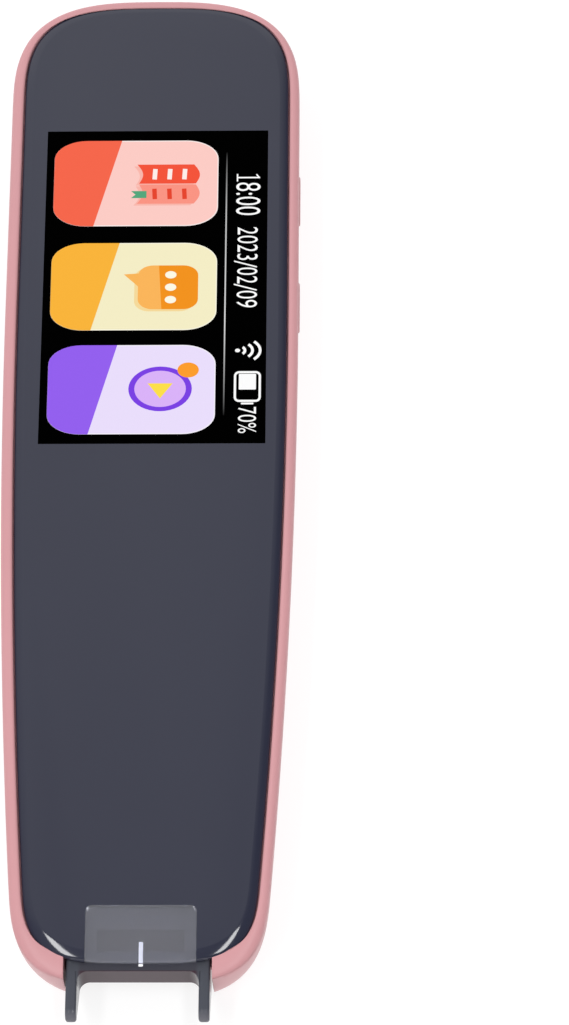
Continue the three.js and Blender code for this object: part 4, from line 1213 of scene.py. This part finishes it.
# Stainless steel: rolled sheet, bright, with fine drawn lines along its length
stainless = new_material("drawn_stainless_steel")
steel_place = add_node(stainless, "ShaderNodeTexCoord")
steel_stretch = add_node(stainless, "ShaderNodeMapping", {
    "Vector": steel_place.outputs["Object"], "Scale": (1 / (0.1 * MM), 1 / (3 * MM), 1 / (0.1 * MM)),
})
steel_lines = add_node(stainless, "ShaderNodeTexNoise", {
    "Vector": steel_stretch.outputs["Vector"], "Scale": 1.0,
})
steel_gloss = add_node(stainless, "ShaderNodeMapRange", {
    "Value": steel_lines.outputs["Fac"], "To Min": 0.2, "To Max": 0.38,
})
show(stainless, add_node(stainless, "ShaderNodeBsdfPrincipled", {
    "Base Color": linear("#c4c6c8"),
    "Metallic": 1.0,
    "Roughness": steel_gloss.outputs["Result"],
}))


def stadium(width, height, y):
    """A slot-shaped loop across the port at a depth."""
    return along("y", slot_outline(width, height, (0, PORT_HEIGHT), 12), y)


bore_size = (PORT_WIDTH - 2 * PORT_WALL, PORT_THICKNESS - 2 * PORT_WALL)
lip = PORT_WALL / 2
middle = lip * CHAMFER_MIDDLE
port = skin([
    stadium(PORT_WIDTH, PORT_THICKNESS, PORT_BACK),
    stadium(PORT_WIDTH, PORT_THICKNESS, PORT_FRONT - lip),
    stadium(PORT_WIDTH - 2 * middle, PORT_THICKNESS - 2 * middle, PORT_FRONT - middle),
    stadium(PORT_WIDTH - 2 * lip, PORT_THICKNESS - 2 * lip, PORT_FRONT),
    stadium(bore_size[0] + 2 * middle, bore_size[1] + 2 * middle, PORT_FRONT - middle),
    stadium(*bore_size, PORT_FRONT - lip),
    stadium(*bore_size, PORT_BACK + PORT_FLOOR),
])
add_piece("port_sleeve", port, stainless, "case", ["usb_c_shell"])

# Black nylon: hard and glass-filled, from a spark-textured mould, so it is matt with a fine grain
black_moulding = grained_finish(
    "black_moulded_nylon", "#242428", 0.25, (0.45, 0.65), bump=(0.2, 0.02),
)
dress(
    black_moulding,
    "usb_c_tongue", "memory_chip", "power_chip", "battery_lead_black", "speaker_body", "camera_housing",
    "camera_barrel", "nib_carriage", "nib_plunger", "nib_switch", "power_switch_plunger",
    "home_switch_plunger",
)

# Contacts: gold-plated strips on both faces of the tongue, a warm yellow with small changes in gloss
gold_plate = grained_finish("gold_plated_contact", "#d9b25c", 0.1, (0.18, 0.32), {"Metallic": 1.0})
CONTACT_COUNT = 12
CONTACT_PITCH = 0.5
CONTACT_WIDTH = 0.24
CONTACT_THICKNESS = 0.03
CONTACT_RUN = (75.2, 78.9)
CONTACT_PLACES = (PORT_HEIGHT - 0.38, PORT_HEIGHT + 0.35)
contacts = join(*(
    block(
        (x - CONTACT_WIDTH / 2, CONTACT_RUN[0], z),
        (x + CONTACT_WIDTH / 2, CONTACT_RUN[1], z + CONTACT_THICKNESS),
    )
    for x in ((place - (CONTACT_COUNT - 1) / 2) * CONTACT_PITCH for place in range(CONTACT_COUNT))
    for z in CONTACT_PLACES
))
add_piece("port_contacts", contacts, gold_plate, "case")

# Steel pieces inside: the pressed mid frame, which stiffens the case, its screws and the board's, and the
# shields and switch cans soldered on the boards.
dress(
    stainless,
    "mid_frame", "case_screw_1", "case_screw_2", "case_screw_3", "case_screw_4", "board_screw_1",
    "board_screw_2", "processor_shield", "wireless_module", "microphone", "power_switch", "home_switch",
)

# Nib springs: coils of stainless wire, wound with open turns. They stand between the guide's cross wall
# and the nib's carriage, and shorten as the nib is pressed.
SPRING_X = 8.8
SPRING_Z = 7.0
SPRING_FRONT = -62.3
SPRING_BACK = -58.5
SPRING_RADIUS = 1.1
SPRING_TURNS = 4
TURN_STEPS = 20
WIRE_RADIUS = 0.15
WIRE_SIDES = 8


def coil(side):
    """A spring along Y, left at -1 and right at 1: round wire, its rings square to its run."""
    rings = []
    steps = TURN_STEPS * SPRING_TURNS
    full_angle = 2 * math.pi * SPRING_TURNS
    turns = [2 * math.pi * corner / WIRE_SIDES for corner in range(WIRE_SIDES)]
    for step in range(steps + 1):
        share = step / steps
        angle = full_angle * share
        outward = Vector((math.cos(angle), 0, math.sin(angle)))
        run = Vector((-math.sin(angle), 0, math.cos(angle))) * full_angle * SPRING_RADIUS
        run.y = SPRING_BACK - SPRING_FRONT
        square = run.normalized().cross(outward)
        axis_point = Vector((side * SPRING_X, SPRING_FRONT + run.y * share, SPRING_Z))
        middle = axis_point + outward * SPRING_RADIUS
        rings.append([
            middle + WIRE_RADIUS * (math.cos(turn) * outward + math.sin(turn) * square) for turn in turns
        ])
    return skin(rings)


for side, name in ((-1, "left"), (1, "right")):
    replaced = [f"nib_spring_{name}"]
    spring = add_piece(f"spring_coil_{name}", coil(side), stainless, "case", replaced, crease=60.0)
    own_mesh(spring)

# White nylon: the backlight tray, the nib's guide and the battery's plug and socket, all moulded and
# clipped or soldered in place. It is a milky white with a low, uneven gloss.
white_nylon = grained_finish("white_moulded_nylon", "#dfe0e2", 0.4, (0.4, 0.55))
dress(white_nylon, "lcd_backlight", "nib_guide", "battery_plug", "battery_socket")

# Circuit boards: glass-fibre laminate, etched and coated with green lacquer, and screwed to the shell's
# posts. The copper tracks under the lacquer show as lighter, raised lines.
TRACK_PITCH = 0.8 * MM
TRACK_LENGTH = 7 * TRACK_PITCH
TRACK_GAP = 0.08 * TRACK_PITCH
green_laminate = new_material("green_lacquered_laminate")
board_place = add_node(green_laminate, "ShaderNodeTexCoord")
board_tracks = add_node(green_laminate, "ShaderNodeTexBrick", {
    "Vector": board_place.outputs["Object"],
    "Color1": linear("#1c5a39"),
    "Color2": linear("#1f6340"),
    "Mortar": linear("#2f8257"),
    "Scale": 1.0,
    "Mortar Size": TRACK_GAP,
    "Brick Width": TRACK_LENGTH,
    "Row Height": TRACK_PITCH,
})
board_bump = add_node(green_laminate, "ShaderNodeBump", {
    "Height": board_tracks.outputs["Fac"], "Strength": 0.3, "Distance": 0.03 * MM,
})
show(green_laminate, add_node(green_laminate, "ShaderNodeBsdfPrincipled", {
    "Base Color": board_tracks.outputs["Color"],
    "Roughness": 0.35,
    "Normal": board_bump.outputs["Normal"],
}))
dress(green_laminate, "main_board", "camera_board", "lamp_board", "side_key_board")

# Flexible circuits: amber polyimide film laminated over parallel copper lines, which show as stripes.
# They join the display, the antenna and the camera to the board, and plug in at their ends.
LINE_PITCH = 0.5 * MM
WAVE_LENGTH = 6.28  # a band's length in the wave texture at a scale of 1
amber_film = new_material("amber_polyimide_film")
amber_place = add_node(amber_film, "ShaderNodeTexCoord")
amber_lines = add_node(amber_film, "ShaderNodeTexWave", {
    "Vector": amber_place.outputs["Object"], "Scale": 1 / LINE_PITCH / WAVE_LENGTH, "Distortion": 0.0,
}, bands_direction="X")
amber_colour = add_node(amber_film, "ShaderNodeValToRGB", {"Fac": amber_lines.outputs["Fac"]})
amber_colour.color_ramp.elements[0].color = linear("#8f5417")
amber_colour.color_ramp.elements[1].color = linear("#c57d2b")
show(amber_film, add_node(amber_film, "ShaderNodeBsdfPrincipled", {
    "Base Color": amber_colour.outputs["Color"],
    "Roughness": 0.35,
}))
dress(amber_film, "lcd_flex", "antenna_flex", "camera_flex")

# Battery: a lithium cell in a heat-sealed pouch of aluminium laminate, taped to the shell, with two leads.
# The foil is a dull silver with faint dimples.
pouch = new_material("aluminium_laminate_pouch")
pouch_place = add_node(pouch, "ShaderNodeTexCoord")
pouch_dimples = add_node(pouch, "ShaderNodeTexVoronoi", {
    "Vector": pouch_place.outputs["Object"], "Scale": 1 / (1.2 * MM),
})
pouch_bump = add_node(pouch, "ShaderNodeBump", {
    "Height": pouch_dimples.outputs["Distance"], "Strength": 0.25, "Distance": 0.05 * MM,
})
show(pouch, add_node(pouch, "ShaderNodeBsdfPrincipled", {
    "Base Color": linear("#c3c6ca"),
    "Metallic": 0.85,
    "Roughness": 0.38,
    "Normal": pouch_bump.outputs["Normal"],
}))
dress(pouch, "battery_cell")

# Red silicone: the insulation of one lead, soft and drawn over the wire, with a low gloss
red_silicone = grained_finish("red_silicone_lead", "#b8242a", 0.3, (0.4, 0.6))
dress(red_silicone, "battery_lead_red")

# Soft pieces: the speaker's gasket and cone, the microphone's boot and the tape under the cell.
# They are silicone rubber or rubbery film, moulded or cut, with a fine grain and no shine.
soft_rubber = grained_finish(
    "black_silicone_rubber", "#1a1a1c", 0.3, 0.8, detail=3.0, bump=(0.3, 0.03),
)
dress(soft_rubber, "speaker_gasket", "microphone_boot", "battery_tape", "speaker_cone")

# Speaker mesh: woven black polyester, glued behind the sound holes to keep dust out. Its threads are
# really finer than 0.1 mm, and are drawn coarser so that they show.
THREAD_PITCH = 0.2 * MM
woven_mesh = new_material("woven_black_polyester")
weave_place = add_node(woven_mesh, "ShaderNodeTexCoord")
weave = add_node(woven_mesh, "ShaderNodeTexBrick", {
    "Vector": weave_place.outputs["Object"],
    "Color1": linear("#2a2a2e"),
    "Color2": linear("#242428"),
    "Mortar": linear("#060607"),
    "Scale": 1.0,
    "Mortar Size": 0.2 * THREAD_PITCH,
    "Brick Width": THREAD_PITCH,
    "Row Height": THREAD_PITCH,
}, offset=0.5)
show(woven_mesh, add_node(woven_mesh, "ShaderNodeBsdfPrincipled", {
    "Base Color": weave.outputs["Color"],
    "Roughness": 0.7,
}))
dress(woven_mesh, "speaker_mesh")

# Lamps and lens: white lamps soldered on their board, under pale yellow phosphor with a fine grain, and
# a coated glass lens in the camera's barrel, deep blue and clear of haze.
phosphor = grained_finish("yellow_phosphor_lamp", ("#f0ebb8", "#f6f3de"), 0.3, 0.3)
dress(phosphor, "lamp_left", "lamp_right")

lens_glass = grained_finish("coated_lens_glass", "#1f2740", 1, (0.03, 0.06), {"IOR": 1.7})
dress(lens_glass, "camera_lens")
